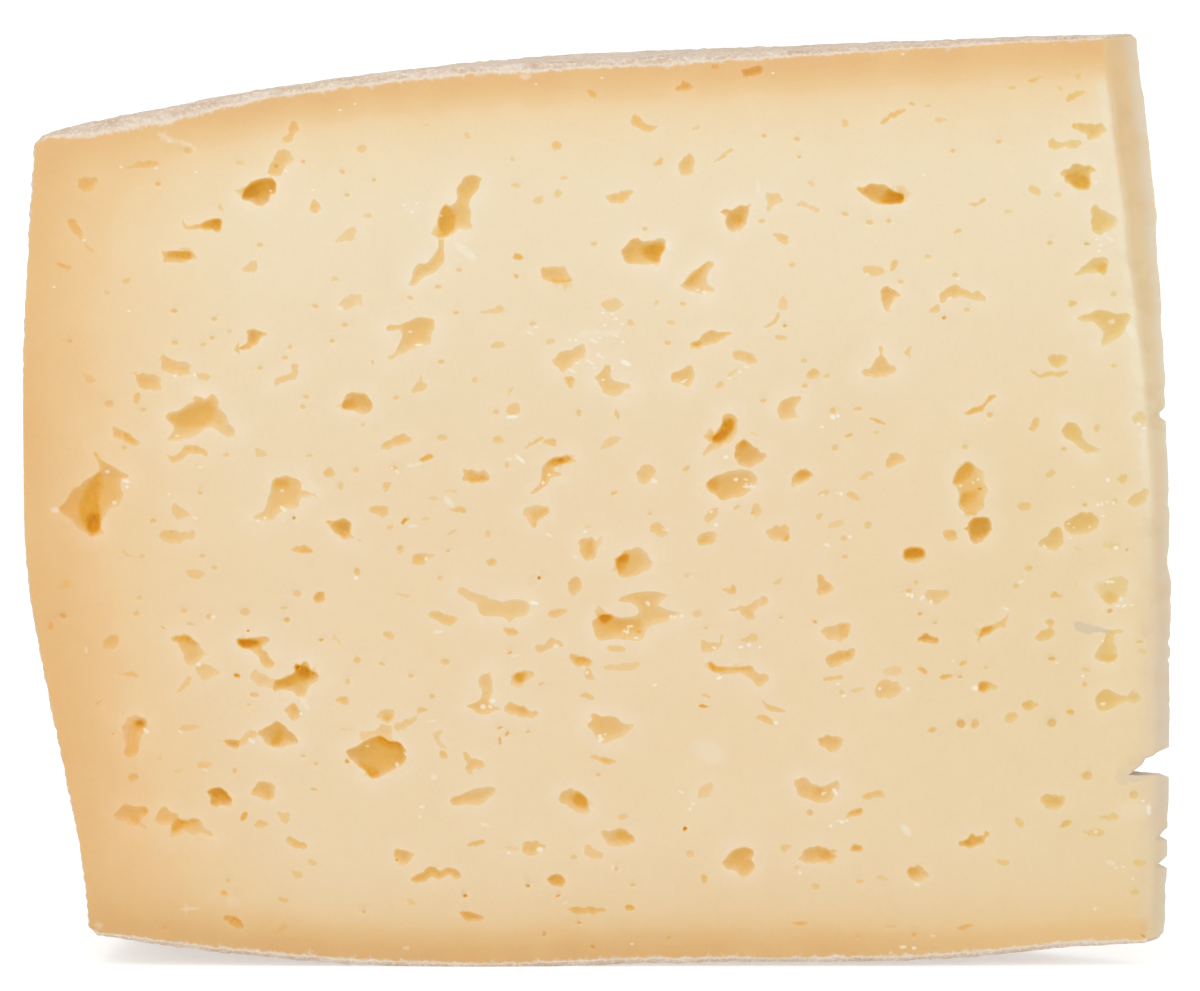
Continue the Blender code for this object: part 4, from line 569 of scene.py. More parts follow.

# White marks: crystal flecks and scuffs, painted glints in the eyes, and white dots near the thin edge that stand in
# for holes where the bright backdrop shows through; across, down, length, width, turn in degrees, how white.
CRYSTALS_AND_GLINTS = [
    (169, 141, 4, 3, 0, 0.6), (156, 168, 3, 2, 0, 0.8), (121, 167, 3, 2, 0, 0.7), (196, 172, 3, 2, 0, 0.8),
    (286, 171, 3, 2, 0, 0.8), (270, 191, 3, 2, 0, 0.9), (441, 216, 3, 2, 0, 0.9), (412, 212, 3, 2, 0, 0.9),
    (404, 205, 3, 2, 0, 0.8), (417, 203, 3, 2, 0, 0.7), (313, 190, 3, 2, 0, 0.7), (340, 110, 3, 2, 0, 0.7),
    (355, 104, 3, 2, 0, 0.7), (536, 84, 3, 2, 0, 0.7), (602, 78, 3, 2, 0, 0.7), (611, 68, 3, 2, 0, 0.8),
    (773, 73, 3, 2, 0, 0.8), (903, 54, 3, 2, 0, 0.8), (924, 175, 3, 2, 0, 0.8), (1132, 104, 3, 2, 0, 0.8),
    (1096, 182, 3, 2, 0, 0.7), (167, 138, 18, 5, 30, 0.4), (187, 145, 18, 5, 30, 0.35), (758, 188, 4, 16, 0, 0.35),
    (466, 252, 22, 7, 40, 0.5), (412, 208, 14, 14, 0, 0.3), (84, 240, 3, 2, 0, 0.8), (54, 287, 3, 2, 0, 0.8),
    (129, 311, 3, 2, 0, 0.8), (175, 376, 3, 2, 0, 0.9), (195, 375, 3, 3, 0, 0.9), (198, 391, 26, 12, 20, 0.3),
    (410, 332, 4, 2, 0, 0.8), (419, 345, 7, 2, 0, 0.9), (340, 308, 6, 4, 0, 0.5), (530, 333, 8, 2, 30, 0.6),
    (536, 327, 4, 2, 30, 0.7), (603, 313, 3, 2, 0, 0.9), (612, 314, 3, 2, 0, 0.9), (616, 319, 3, 2, 0, 0.9),
    (622, 324, 4, 2, 0, 0.8), (605, 325, 3, 2, 0, 0.8), (616, 336, 4, 2, 20, 0.8), (623, 342, 3, 2, 0, 0.8),
    (600, 338, 4, 2, 0, 0.7), (594, 341, 8, 3, 30, 0.6), (570, 340, 3, 2, 0, 0.9), (576, 340, 3, 2, 0, 0.9),
    (600, 356, 9, 2, 35, 0.7), (590, 362, 9, 2, 35, 0.7), (577, 363, 3, 2, 0, 0.9), (572, 371, 8, 2, 30, 0.8),
    (595, 368, 4, 2, 0, 0.7), (612, 368, 3, 2, 0, 0.8), (626, 363, 10, 4, 30, 1.0), (603, 380, 3, 2, 0, 0.9),
    (683, 382, 4, 2, 0, 0.9), (686, 380, 3, 2, 0, 0.8), (867, 274, 3, 2, 0, 0.8), (746, 367, 5, 2, 20, 0.8),
    (740, 372, 4, 2, 0, 0.8), (729, 378, 4, 2, 0, 0.7), (1099, 251, 3, 3, 0, 0.8), (1101, 245, 3, 2, 0, 0.8),
    (1110, 239, 8, 3, 30, 0.5), (1097, 239, 3, 2, 0, 0.7), (958, 279, 3, 2, 0, 0.7), (950, 298, 3, 2, 0, 0.8),
    (704, 292, 4, 2, 0, 0.9), (698, 290, 3, 2, 0, 0.8), (669, 245, 4, 9, 0, 0.4), (1131, 331, 7, 14, -20, 0.4),
    (1112, 322, 6, 4, 0, 0.7), (107, 472, 4, 3, 0, 0.8), (126, 481, 8, 3, 20, 0.9), (127, 487, 3, 3, 0, 0.9),
    (114, 503, 4, 3, 0, 0.8), (55, 510, 7, 5, 0, 0.5), (195, 518, 6, 2, 20, 0.8), (177, 436, 4, 2, 0, 0.7),
    (201, 467, 4, 2, 0, 0.7), (169, 494, 3, 2, 0, 0.8), (283, 509, 6, 3, 45, 1.0), (265, 518, 3, 2, 0, 0.9),
    (282, 491, 3, 2, 0, 0.8), (258, 521, 3, 2, 0, 0.8), (414, 465, 14, 3, -5, 0.45), (397, 472, 5, 2, 45, 0.7),
    (392, 468, 3, 2, 0, 0.8), (449, 502, 12, 5, 50, 0.55), (413, 526, 9, 3, 0, 0.5), (426, 559, 3, 3, 0, 0.8),
    (356, 578, 4, 3, 0, 0.9), (512, 417, 10, 3, 0, 1.0), (520, 459, 11, 3, 45, 0.9), (509, 459, 6, 3, 0, 0.4),
    (543, 483, 3, 3, 0, 1.0), (549, 475, 3, 2, 0, 0.9), (654, 481, 6, 3, 30, 1.0), (666, 530, 7, 2, 5, 0.5),
    (549, 535, 7, 2, 30, 0.7), (585, 532, 3, 2, 0, 0.9), (575, 557, 5, 2, 50, 0.6), (736, 480, 4, 3, 0, 1.0),
    (746, 480, 4, 2, 20, 0.8), (749, 487, 11, 2, 0, 1.0), (726, 457, 4, 3, -20, 1.0), (711, 512, 3, 2, 0, 0.9),
    (716, 525, 4, 3, 0, 0.9), (833, 417, 5, 4, 45, 1.0), (838, 416, 3, 3, 0, 1.0), (822, 427, 3, 2, 0, 0.9),
    (822, 495, 3, 2, 0, 0.9), (841, 494, 3, 3, 0, 1.0), (837, 493, 2, 2, 0, 0.8), (850, 537, 3, 3, 0, 0.9),
    (827, 545, 6, 3, 25, 0.8), (908, 595, 3, 3, 0, 0.9), (912, 596, 3, 4, 0, 1.0), (922, 598, 5, 3, -45, 0.9),
    (931, 602, 3, 4, 0, 0.9), (1144, 428, 5, 2, -10, 1.0), (1156, 428, 5, 5, 45, 1.0), (1139, 424, 3, 3, 0, 0.9),
    (978, 480, 2, 2, 0, 0.8), (961, 486, 3, 2, 0, 0.9), (973, 483, 2, 2, 0, 0.8), (1108, 480, 3, 4, 0, 1.0),
    (1073, 487, 2, 2, 0, 0.8), (1098, 505, 3, 3, 0, 0.8), (1102, 504, 2, 4, 0, 0.9), (1107, 502, 2, 2, 0, 0.8),
    (1114, 503, 3, 3, 0, 0.9), (1069, 524, 3, 2, 0, 0.9), (1074, 528, 2, 2, 0, 0.7), (1090, 527, 2, 2, 0, 0.7),
    (1045, 547, 5, 2, 45, 0.9), (1070, 538, 4, 2, 0, 0.7), (1103, 516, 3, 2, 0, 0.8), (1021, 582, 7, 3, -20, 0.5),
    (1110, 582, 9, 2, 5, 0.9), (1121, 599, 3, 4, 0, 0.9), (1159, 592, 3, 3, 0, 1.0), (1116, 548, 5, 3, 0, 0.9),
    (199, 665, 4, 3, 20, 1.0), (146, 731, 6, 3, 45, 0.9), (213, 617, 4, 3, 0, 1.0), (180, 732, 5, 2, 40, 0.6),
    (205, 770, 7, 2, 25, 0.5), (86, 650, 3, 6, 0, 0.4), (252, 741, 8, 3, 40, 0.8), (305, 704, 4, 14, -30, 0.4),
    (301, 714, 3, 3, 0, 0.9), (367, 747, 3, 2, 0, 0.8), (405, 754, 4, 2, 45, 0.9), (397, 765, 4, 3, 45, 0.9),
    (434, 777, 6, 5, 0, 0.5), (438, 632, 9, 3, 0, 0.6), (432, 721, 12, 2, -5, 0.4), (516, 656, 9, 2, -20, 0.4),
    (556, 646, 5, 3, 0, 0.7), (587, 673, 3, 3, 0, 0.8), (483, 707, 5, 4, 0, 1.0), (490, 707, 4, 3, 30, 0.9),
    (493, 701, 5, 3, 0, 0.9), (601, 740, 6, 3, -20, 1.0), (600, 737, 3, 4, 0, 1.0), (605, 735, 3, 2, 0, 0.7),
    (710, 752, 30, 18, 30, 0.5), (719, 678, 5, 3, -25, 1.0), (714, 648, 4, 2, 20, 0.9), (671, 617, 3, 3, 0, 0.9),
    (675, 617, 2, 3, 0, 0.9), (682, 616, 3, 3, 0, 0.7), (648, 604, 3, 5, -30, 1.0), (630, 627, 6, 2, 0, 1.0),
    (626, 632, 6, 2, 15, 1.0), (636, 638, 4, 2, 0, 0.9), (534, 603, 8, 3, 15, 1.0), (655, 685, 4, 2, -20, 1.0),
    (741, 647, 4, 3, 0, 0.9), (749, 645, 4, 3, 0, 0.8), (760, 647, 2, 3, 0, 0.8), (838, 684, 3, 2, 0, 0.8),
    (844, 696, 4, 2, -20, 0.9), (880, 689, 3, 3, 0, 1.0), (908, 689, 4, 3, 40, 0.6), (776, 723, 4, 3, 20, 0.9),
    (824, 794, 5, 2, -15, 0.9), (835, 792, 3, 7, -30, 0.9), (831, 826, 3, 3, 0, 1.0), (842, 822, 4, 3, 0, 1.0),
    (847, 821, 3, 2, 0, 0.8), (838, 821, 3, 2, 0, 0.7), (800, 873, 3, 3, 0, 0.8), (917, 885, 5, 2, 20, 1.0),
    (906, 830, 12, 6, 50, 0.55), (540, 850, 6, 5, 0, 0.9), (509, 853, 3, 3, 0, 0.7), (613, 868, 3, 5, 0, 0.6),
    (681, 792, 5, 2, 20, 0.8), (690, 809, 3, 3, 0, 0.8), (693, 804, 4, 3, 0, 0.5), (485, 825, 9, 3, 20, 0.5),
    (632, 944, 3, 2, 0, 0.8), (903, 947, 6, 3, 0, 0.9), (914, 948, 4, 3, 0, 0.8), (933, 936, 5, 3, 0, 0.4),
    (1006, 609, 6, 2, 25, 1.0), (1118, 606, 4, 2, 0, 0.9), (1124, 606, 5, 2, -20, 1.0), (1132, 605, 4, 2, 0, 0.7),
    (975, 688, 6, 4, 0, 1.0), (1103, 704, 5, 2, 0, 1.0), (1057, 663, 3, 2, 0, 0.7), (1083, 676, 3, 3, 0, 0.7),
    (953, 661, 3, 3, 0, 0.5), (1158, 675, 7, 8, 40, 1.0), (1149, 810, 4, 9, -5, 0.9), (1143, 801, 3, 2, 0, 0.9),
    (1152, 827, 3, 3, 0, 0.9), (1134, 811, 28, 16, 0, 0.35), (1111, 863, 8, 4, 20, 0.4), (1116, 868, 4, 2, 0, 0.5),
    (1123, 867, 4, 2, 20, 0.6), (1133, 879, 3, 2, 0, 0.6), (1095, 909, 3, 3, 0, 0.6), (1096, 832, 3, 3, 0, 0.8),
    (1162, 619, 3, 3, 0, 0.8), (1103, 641, 3, 2, 0, 0.7), (233, 902, 12, 10, 30, 0.35), (190, 909, 16, 3, 0, 0.35),
    (525, 75, 10, 8, 0, 0.5), (422, 807, 5, 3, 0, 0.7), (420, 817, 3, 3, 0, 0.6), (592, 333, 22, 6, 0, 0.3),
    (611, 333, 18, 5, 0, 0.3), (565, 903, 6, 2, -30, 0.4), (98, 926, 8, 6, 0, 0.3), (406, 948, 6, 3, 0, 0.4),
]

# Thin places near the tip, painted greyish for light passing through the cheese: outlines.
THIN_PLACES = [
    [1073, 621, 1091, 625, 1103, 629, 1112, 630, 1103, 633, 1097, 631, 1088, 634, 1076, 630],
    [1128, 772, 1145, 774, 1160, 777, 1155, 779, 1140, 781, 1130, 782],
]


def smooth(t):
    t = np.clip(t, 0.0, 1.0)
    return t * t * (3 - 2 * t)


class Grain:
    """Smooth seeded noise between -1 and 1, made of random waves, for whole arrays at once."""

    def __init__(self, seed, size, waves=26):
        rng = np.random.default_rng(seed)
        way = rng.normal(size=(waves, 3))
        way /= np.linalg.norm(way, axis=1)[:, None]
        self.way = way * (2 * math.pi / (size * rng.uniform(0.6, 1.9, waves)))[:, None]
        self.phase = rng.uniform(0, 2 * math.pi, waves)

    def __call__(self, points):
        points = np.asarray(points, float)
        if points.shape[1] == 2:
            points = np.column_stack([points, np.zeros(len(points))])
        out = np.zeros(len(points))
        for way, phase in zip(self.way, self.phase):
            out += np.sin(points @ way + phase)
        return np.clip(out / math.sqrt(len(self.phase)), -1.6, 1.6) / 1.2


# ---- the outline of the cut ----

def swell(u):
    return UNDERSIDE_SWELL * np.exp(-(((np.maximum(u, INNER_FLAT) - SWELL_RADIUS) / SWELL_SPREAD) ** 2))


def height_at(side, u):
    """w of the top (side 1) or the bottom (side -1) at a radius."""
    corner_u, corner_w = TOP_CORNER if side > 0 else BOTTOM_CORNER
    t = np.clip((u - FLAT_RADIUS) / (corner_u - FLAT_RADIUS), 0, 1)
    w = side * (HALF_THICKNESS - (HALF_THICKNESS - abs(corner_w)) * t ** SHOULDER_POWER)
    return w - (swell(u) if side < 0 else 0.0)


# Nicks along the thin edge, as (frame height, reach in mm, half height in mm).
NICKS = [(345, -0.35, 2.2), (415, 0.9, 0.9), (502, 0.2, 1.4), (560, 0.25, 2.2), (644, 0.45, 0.9), (661, 0.3, 0.5),
         (706, 0.25, 0.6), (837, 1.1, 0.62), (865, 1.45, 0.5), (890, 0.2, 1.2)]
# The deep notch: frame height and reach in mm.
NOTCH = [(750.5, 0.0), (753, 1.3), (756.5, 2.3), (758.5, 3.3), (763, 3.4), (768, 4.5), (771.5, 5.3), (773.3, 5.9),
         (774.3, 4.2), (775.3, 1.5), (777.5, 0.3), (779, 0.0)]
EDGE_LINE = 1163.0


def tip_shape(w):
    """How far the thin edge stands back from the wheel's axis, and how deep its facet is."""
    off = (w - TIP_BOW_CENTRE) / 81.3
    back = TIP_BACK + TIP_BOW * off * off
    face = TIP_FACE_LOW + (TIP_FACE_TOP - TIP_FACE_LOW) * smooth((w - 2) / 52)
    ragged = Grain(5, 2.2)(np.column_stack([w, 0 * w])) * 0.09 + Grain(6, 7.0)(np.column_stack([w, 0 * w])) * 0.1
    back = back + 0.12 + ragged + 0.5 * smooth((w - 48) / 14)
    reach = np.zeros_like(w)
    for down, depth, half in NICKS:
        at = face_point(EDGE_LINE, down)[1]
        reach = reach + depth * smooth(1.25 - np.abs(w - at) / half)
    places = [(face_point(EDGE_LINE, down)[1], depth) for down, depth in NOTCH][::-1]
    deep = np.interp(w, [p[0] for p in places], [p[1] for p in places], left=0.0, right=0.0)
    reach = np.maximum(reach, deep)
    ahead = np.maximum(back + face, back + reach + 0.15 + 0.2 * face)
    return back + reach, ahead


def outline(count=7200):
    """The two outlines of the cut, front and back, as sharp corners in the wheel's frame, and which side each point is
    on."""
    us = np.linspace(0, 1, count // 4)
    top_w = float(height_at(1, np.array([10.0]))[0])
    low_w = float(height_at(-1, np.array([6.0]))[0])
    back_top, ahead_top = (float(x[0]) for x in tip_shape(np.array([top_w])))
    back_low, ahead_low = (float(x[0]) for x in tip_shape(np.array([low_w])))
    c = math.cos(WEDGE_ANGLE)
    front, rear, side = [], [], []

    def add(u_front, u_rear, w, kind):
        front.append(np.column_stack([u_front, w]))
        rear.append(np.column_stack([u_rear, w]))
        side.extend([kind] * len(w))

    u = ahead_top + (TOP_CORNER[0] - ahead_top) * us
    v = back_top / c + (TOP_CORNER[0] - back_top / c) * us
    add(u, v, height_at(1, u), 0)
    t = np.linspace(1, 0, count // 8)
    ru = RIM_WIDEST[0] - (RIM_WIDEST[0] - TOP_CORNER[0]) * t ** UPPER_BULGE_POWER
    add(ru, ru, RIM_WIDEST[1] + (TOP_CORNER[1] - RIM_WIDEST[1]) * t, 1)
    t = np.linspace(0, 1, count // 8)
    ru = RIM_WIDEST[0] - (RIM_WIDEST[0] - BOTTOM_CORNER[0]) * smooth(t)
    add(ru, ru, RIM_WIDEST[1] + (BOTTOM_CORNER[1] - RIM_WIDEST[1]) * t, 1)
    u = BOTTOM_CORNER[0] + (ahead_low - BOTTOM_CORNER[0]) * us
    v = BOTTOM_CORNER[0] + (back_low / c - BOTTOM_CORNER[0]) * us
    add(u, v, height_at(-1, u), 2)
    w = np.linspace(low_w, top_w, count // 4)
    back, ahead = tip_shape(w)
    add(ahead, back / c, w, 3)
    return np.vstack(front), np.vstack(rear), np.array(side)


def eased(line, side, reach):
    """The closed outline with its four corners eased by a running mean."""
    n = len(line)
    step = np.linalg.norm(np.roll(line, -1, 0) - line, axis=1)
    corners = np.where(side != np.roll(side, 1))[0]
    out = line.copy()
    for corner in corners:
        kinds = {int(side[corner]), int(side[corner - 1])}
        within = reach[tuple(sorted(kinds))]
        idx = [(corner + k) % n for k in range(-260, 261)]
        far = np.zeros(521)
        far[261:] = np.cumsum(step[idx[260:-1]])
        far[:260] = np.cumsum(step[idx[:260]][::-1])[::-1]
        far[:260] *= -1
        place = line[idx]
        want = np.arange(-3.2 * within, 3.2 * within, within / 24)
        for k in range(521):
            size = within * max(0.0, 1 - abs(far[k]) / (1.6 * within))
            if size <= 0.02:
                continue
            spread = far[k] + np.linspace(-size, size, 21)
            out[idx[k]] = [np.interp(spread, far, place[:, 0]).mean(), np.interp(spread, far, place[:, 1]).mean()]
    return out


def loops():
    """The outline's points, front and rear, spaced by what each side needs."""
    front, rear, side = outline()
    reach = {(0, 1): 2.2, (1, 2): 2.2, (2, 3): 2.0, (0, 3): 1.6}
    front, rear = eased(front, side, reach), eased(rear, side, reach)
    gap = {0: 1.15, 1: 0.45, 2: 1.15, 3: 0.6}
    step = np.linalg.norm(np.roll(front, -1, 0) - front, axis=1)
    n = len(front)
    near_corner = np.full(n, 1e9)
    along = np.concatenate([[0], np.cumsum(step)[:-1]])
    total = step.sum()
    for corner in np.where(side != np.roll(side, 1))[0]:
        far = np.abs(along - along[corner])
        near_corner = np.minimum(near_corner, np.minimum(far, total - far))
    want = np.array([gap[int(k)] for k in side]) * (0.35 + 0.65 * smooth(near_corner / 5.0))
    tally = np.cumsum(step / want)
    number = int(tally[-1])
    pick = np.unique(np.searchsorted(tally, (np.arange(number) + 0.5) * tally[-1] / number))
    return front[pick], rear[pick], side[pick], along[pick], near_corner[pick]


def outward(line):
    """Outward unit normals of a closed outline that runs top, rim, bottom, tip."""
    d = np.roll(line, -1, 0) - np.roll(line, 1, 0)
    n = np.column_stack([-d[:, 1], d[:, 0]])
    n /= np.linalg.norm(n, axis=1)[:, None] + 1e-12
    for _ in range(2):
        n = n * 0.5 + 0.25 * (np.roll(n, 1, 0) + np.roll(n, -1, 0))
        n /= np.linalg.norm(n, axis=1)[:, None] + 1e-12
    return n


def area(line):
    x, y = line[:, 0], line[:, 1]
    return 0.5 * float(np.sum(x * np.roll(y, -1) - np.roll(x, -1) * y))


def at(u, phi, w):
    return np.column_stack([-u * np.cos(phi), u * np.sin(phi), w])


LOOP_F, LOOP_R, SIDE, ALONG, CORNER = loops()
N = len(LOOP_F)
OUT_F, OUT_R = outward(LOOP_F), outward(LOOP_R)
if area(LOOP_F) > 0:
    OUT_F, OUT_R = -OUT_F, -OUT_R

# How round the edge between a cut and the outside is, all the way round.
u_here = LOOP_F[:, 0]
ROUND = np.where(SIDE == 0, 0.55 + 0.65 * smooth((u_here - 30) / 40) + 1.0 * smooth((u_here - 135) / 15), 0.6)
ROUND = np.where(SIDE == 2, 0.9, ROUND)
ROUND = np.where(SIDE == 3, 0.55, ROUND)
near = smooth(CORNER / 7.0)
ROUND = ROUND * near + np.where(SIDE == 3, 0.45, 0.5) * (1 - near)
ROUND = ROUND * (0.92 + 0.16 * Grain(11, 14.0)(np.column_stack([ALONG, 0 * ALONG])))


def sweep(i_s):
    """Points of the outside a share of the way from the front cut to the rear one."""
    s = i_s[:, None]
    phi = WEDGE_ANGLE * i_s
    u = LOOP_F[:, 0] + (LOOP_R[:, 0] - LOOP_F[:, 0]) * i_s
    w = LOOP_F[:, 1] + (LOOP_R[:, 1] - LOOP_F[:, 1]) * i_s
    arc = at(u, phi, w)
    a = at(LOOP_F[:, 0], 0 * u, LOOP_F[:, 1])
    b = at(LOOP_R[:, 0], 0 * u + WEDGE_ANGLE, LOOP_R[:, 1])
    k = smooth((LOOP_F[:, 0] - 7) / 18)[:, None]
    return (a + (b - a) * s) * (1 - k) + arc * k


def row_normals(rows):
    """Outward normals of the outside, from the grid of its points."""
    grid = np.stack(rows)
    d_along = np.roll(grid, -1, 1) - np.roll(grid, 1, 1)
    d_over = np.empty_like(grid)
    d_over[1:-1] = grid[2:] - grid[:-2]
    d_over[0], d_over[-1] = grid[1] - grid[0], grid[-1] - grid[-2]
    n = np.cross(d_along, d_over)
    return n / (np.linalg.norm(n, axis=2)[..., None] + 1e-12)


length = np.where(u_here < 12, np.linalg.norm(at(LOOP_F[:, 0], 0 * u_here, LOOP_F[:, 1])
                  - at(LOOP_R[:, 0], 0 * u_here + WEDGE_ANGLE, LOOP_R[:, 1]), axis=1), u_here * WEDGE_ANGLE)
length = np.maximum(length, 1.2)
EASE = 5
ACROSS = 19

front_corner = at(LOOP_F[:, 0], 0 * u_here, LOOP_F[:, 1])
rear_corner = at(LOOP_R[:, 0], 0 * u_here + WEDGE_ANGLE, LOOP_R[:, 1])
inset_f = LOOP_F - OUT_F * ROUND[:, None]
inset_r = LOOP_R - OUT_R * ROUND[:, None]
start = at(inset_f[:, 0], 0 * u_here, inset_f[:, 1])
end = at(inset_r[:, 0], 0 * u_here + WEDGE_ANGLE, inset_r[:, 1])
share = np.minimum(ROUND / length, 0.3)
first, last = sweep(share), sweep(1 - share)

rows, depth_of, share_of = [], [], []
for k in range(EASE + 1):
    t = k / EASE
    rows.append((1 - t) ** 2 * start + 2 * t * (1 - t) * front_corner + t * t * first)
    share_of.append(share * t)
for k in range(1, ACROSS):
    t = k / ACROSS
    s = share + (1 - 2 * share) * t
    rows.append(sweep(s))
    share_of.append(s)
for k in range(EASE + 1):
    t = 1 - k / EASE
    rows.append((1 - t) ** 2 * end + 2 * t * (1 - t) * rear_corner + t * t * last)
    share_of.append(1 - share * t)
M = len(rows)
normals = row_normals(rows)

# The outside is a little uneven: slow dents, and the print of the cloth the wheel was pressed in.
slow, mid, rough = Grain(21, 34.0), Grain(22, 9.0), Grain(23, 1.5)
for j in range(1, M - 1):
    p = rows[j]
    fade = min(1.0, min(j, M - 1 - j) / (EASE + 1.0)) ** 1.5
    crust = np.where(SIDE == 3, 0.0, smooth(u_here / 25))
    dent = 0.24 + 0.12 * slow(p) + 0.06 * mid(p) + 0.13 * rough(p)
    weave = 0.10 * (0.5 + 0.5 * np.cos(2 * math.pi * ALONG / 1.45)) * np.where(SIDE == 1, 1.0, 0.0)
    rows[j] = p - normals[j] * ((dent + weave) * crust * fade)[:, None]

# ---- the eyes ----

def frame_line(flat):
    return np.array([face_point(flat[k], flat[k + 1]) for k in range(0, len(flat), 2)])


def rounded(line, rng, gap, rough):
    """A closed outline made smooth, spaced evenly, and slightly uneven again."""
    cut = 0.16
    nxt = np.roll(line, -1, 0)
    line = np.stack([line * (1 - cut) + nxt * cut, line * cut + nxt * (1 - cut)], 1).reshape(-1, 2)
    step = np.linalg.norm(np.roll(line, -1, 0) - line, axis=1)
    total = step.sum()
    n = max(9, int(total / gap))
    along = np.concatenate([[0], np.cumsum(step)])
    closed = np.vstack([line, line[:1]])
    spots = np.arange(n) * total / n
    out = np.column_stack([np.interp(spots, along, closed[:, 0]), np.interp(spots, along, closed[:, 1])])
    turn = spots / total * 2 * math.pi
    wobble = sum(rng.normal() * np.cos(k * turn + rng.uniform(0, 6.3)) / k ** 0.6 for k in range(4, 13))
    normal = np.roll(out, -1, 0) - np.roll(out, 1, 0)
    normal = np.column_stack([normal[:, 1], -normal[:, 0]])
    normal /= np.linalg.norm(normal, axis=1)[:, None] + 1e-9
    return out + normal * (wobble * rough * min(1.0, total / 12))[:, None]


def inside(points, line):
    x, y = points[:, 0], points[:, 1]
    hit = np.zeros(len(points), bool)
    for (x1, y1), (x2, y2) in zip(line, np.roll(line, -1, 0)):
        cross = (y1 > y) != (y2 > y)
        if cross.any():
            with np.errstate(divide="ignore", invalid="ignore"):
                hit ^= cross & (x < (x2 - x1) * (y - y1) / (y2 - y1) + x1)
    return hit


def distance(points, line):
    a, b = line, np.roll(line, -1, 0)
    ab = b - a
    length2 = (ab ** 2).sum(1) + 1e-12
    out = np.full(len(points), 1e9)
    for lo in range(0, len(points), 4000):
        p = points[lo:lo + 4000]
        t = np.clip(((p[:, None] - a) * ab).sum(2) / length2, 0, 1)
        d = p[:, None] - (a + ab * t[..., None])
        out[lo:lo + 4000] = np.sqrt((d ** 2).sum(2).min(1))
    return out


def shrunk(line, by):
    n = np.roll(line, -1, 0) - np.roll(line, 1, 0)
    n = np.column_stack([n[:, 1], -n[:, 0]])
    n /= np.linalg.norm(n, axis=1)[:, None] + 1e-9
    if area(line) < 0:
        n = -n
    return line - n * by


def ellipse(x, y, a, b, turn, n, grow=1.0):
    t = np.arange(n) * 2 * math.pi / n
    c, s = math.cos(turn), math.sin(turn)
    ex, ey = a * grow * np.cos(t), b * grow * np.sin(t)
    return np.column_stack([x + c * ex - s * ey, y + s * ex + c * ey])


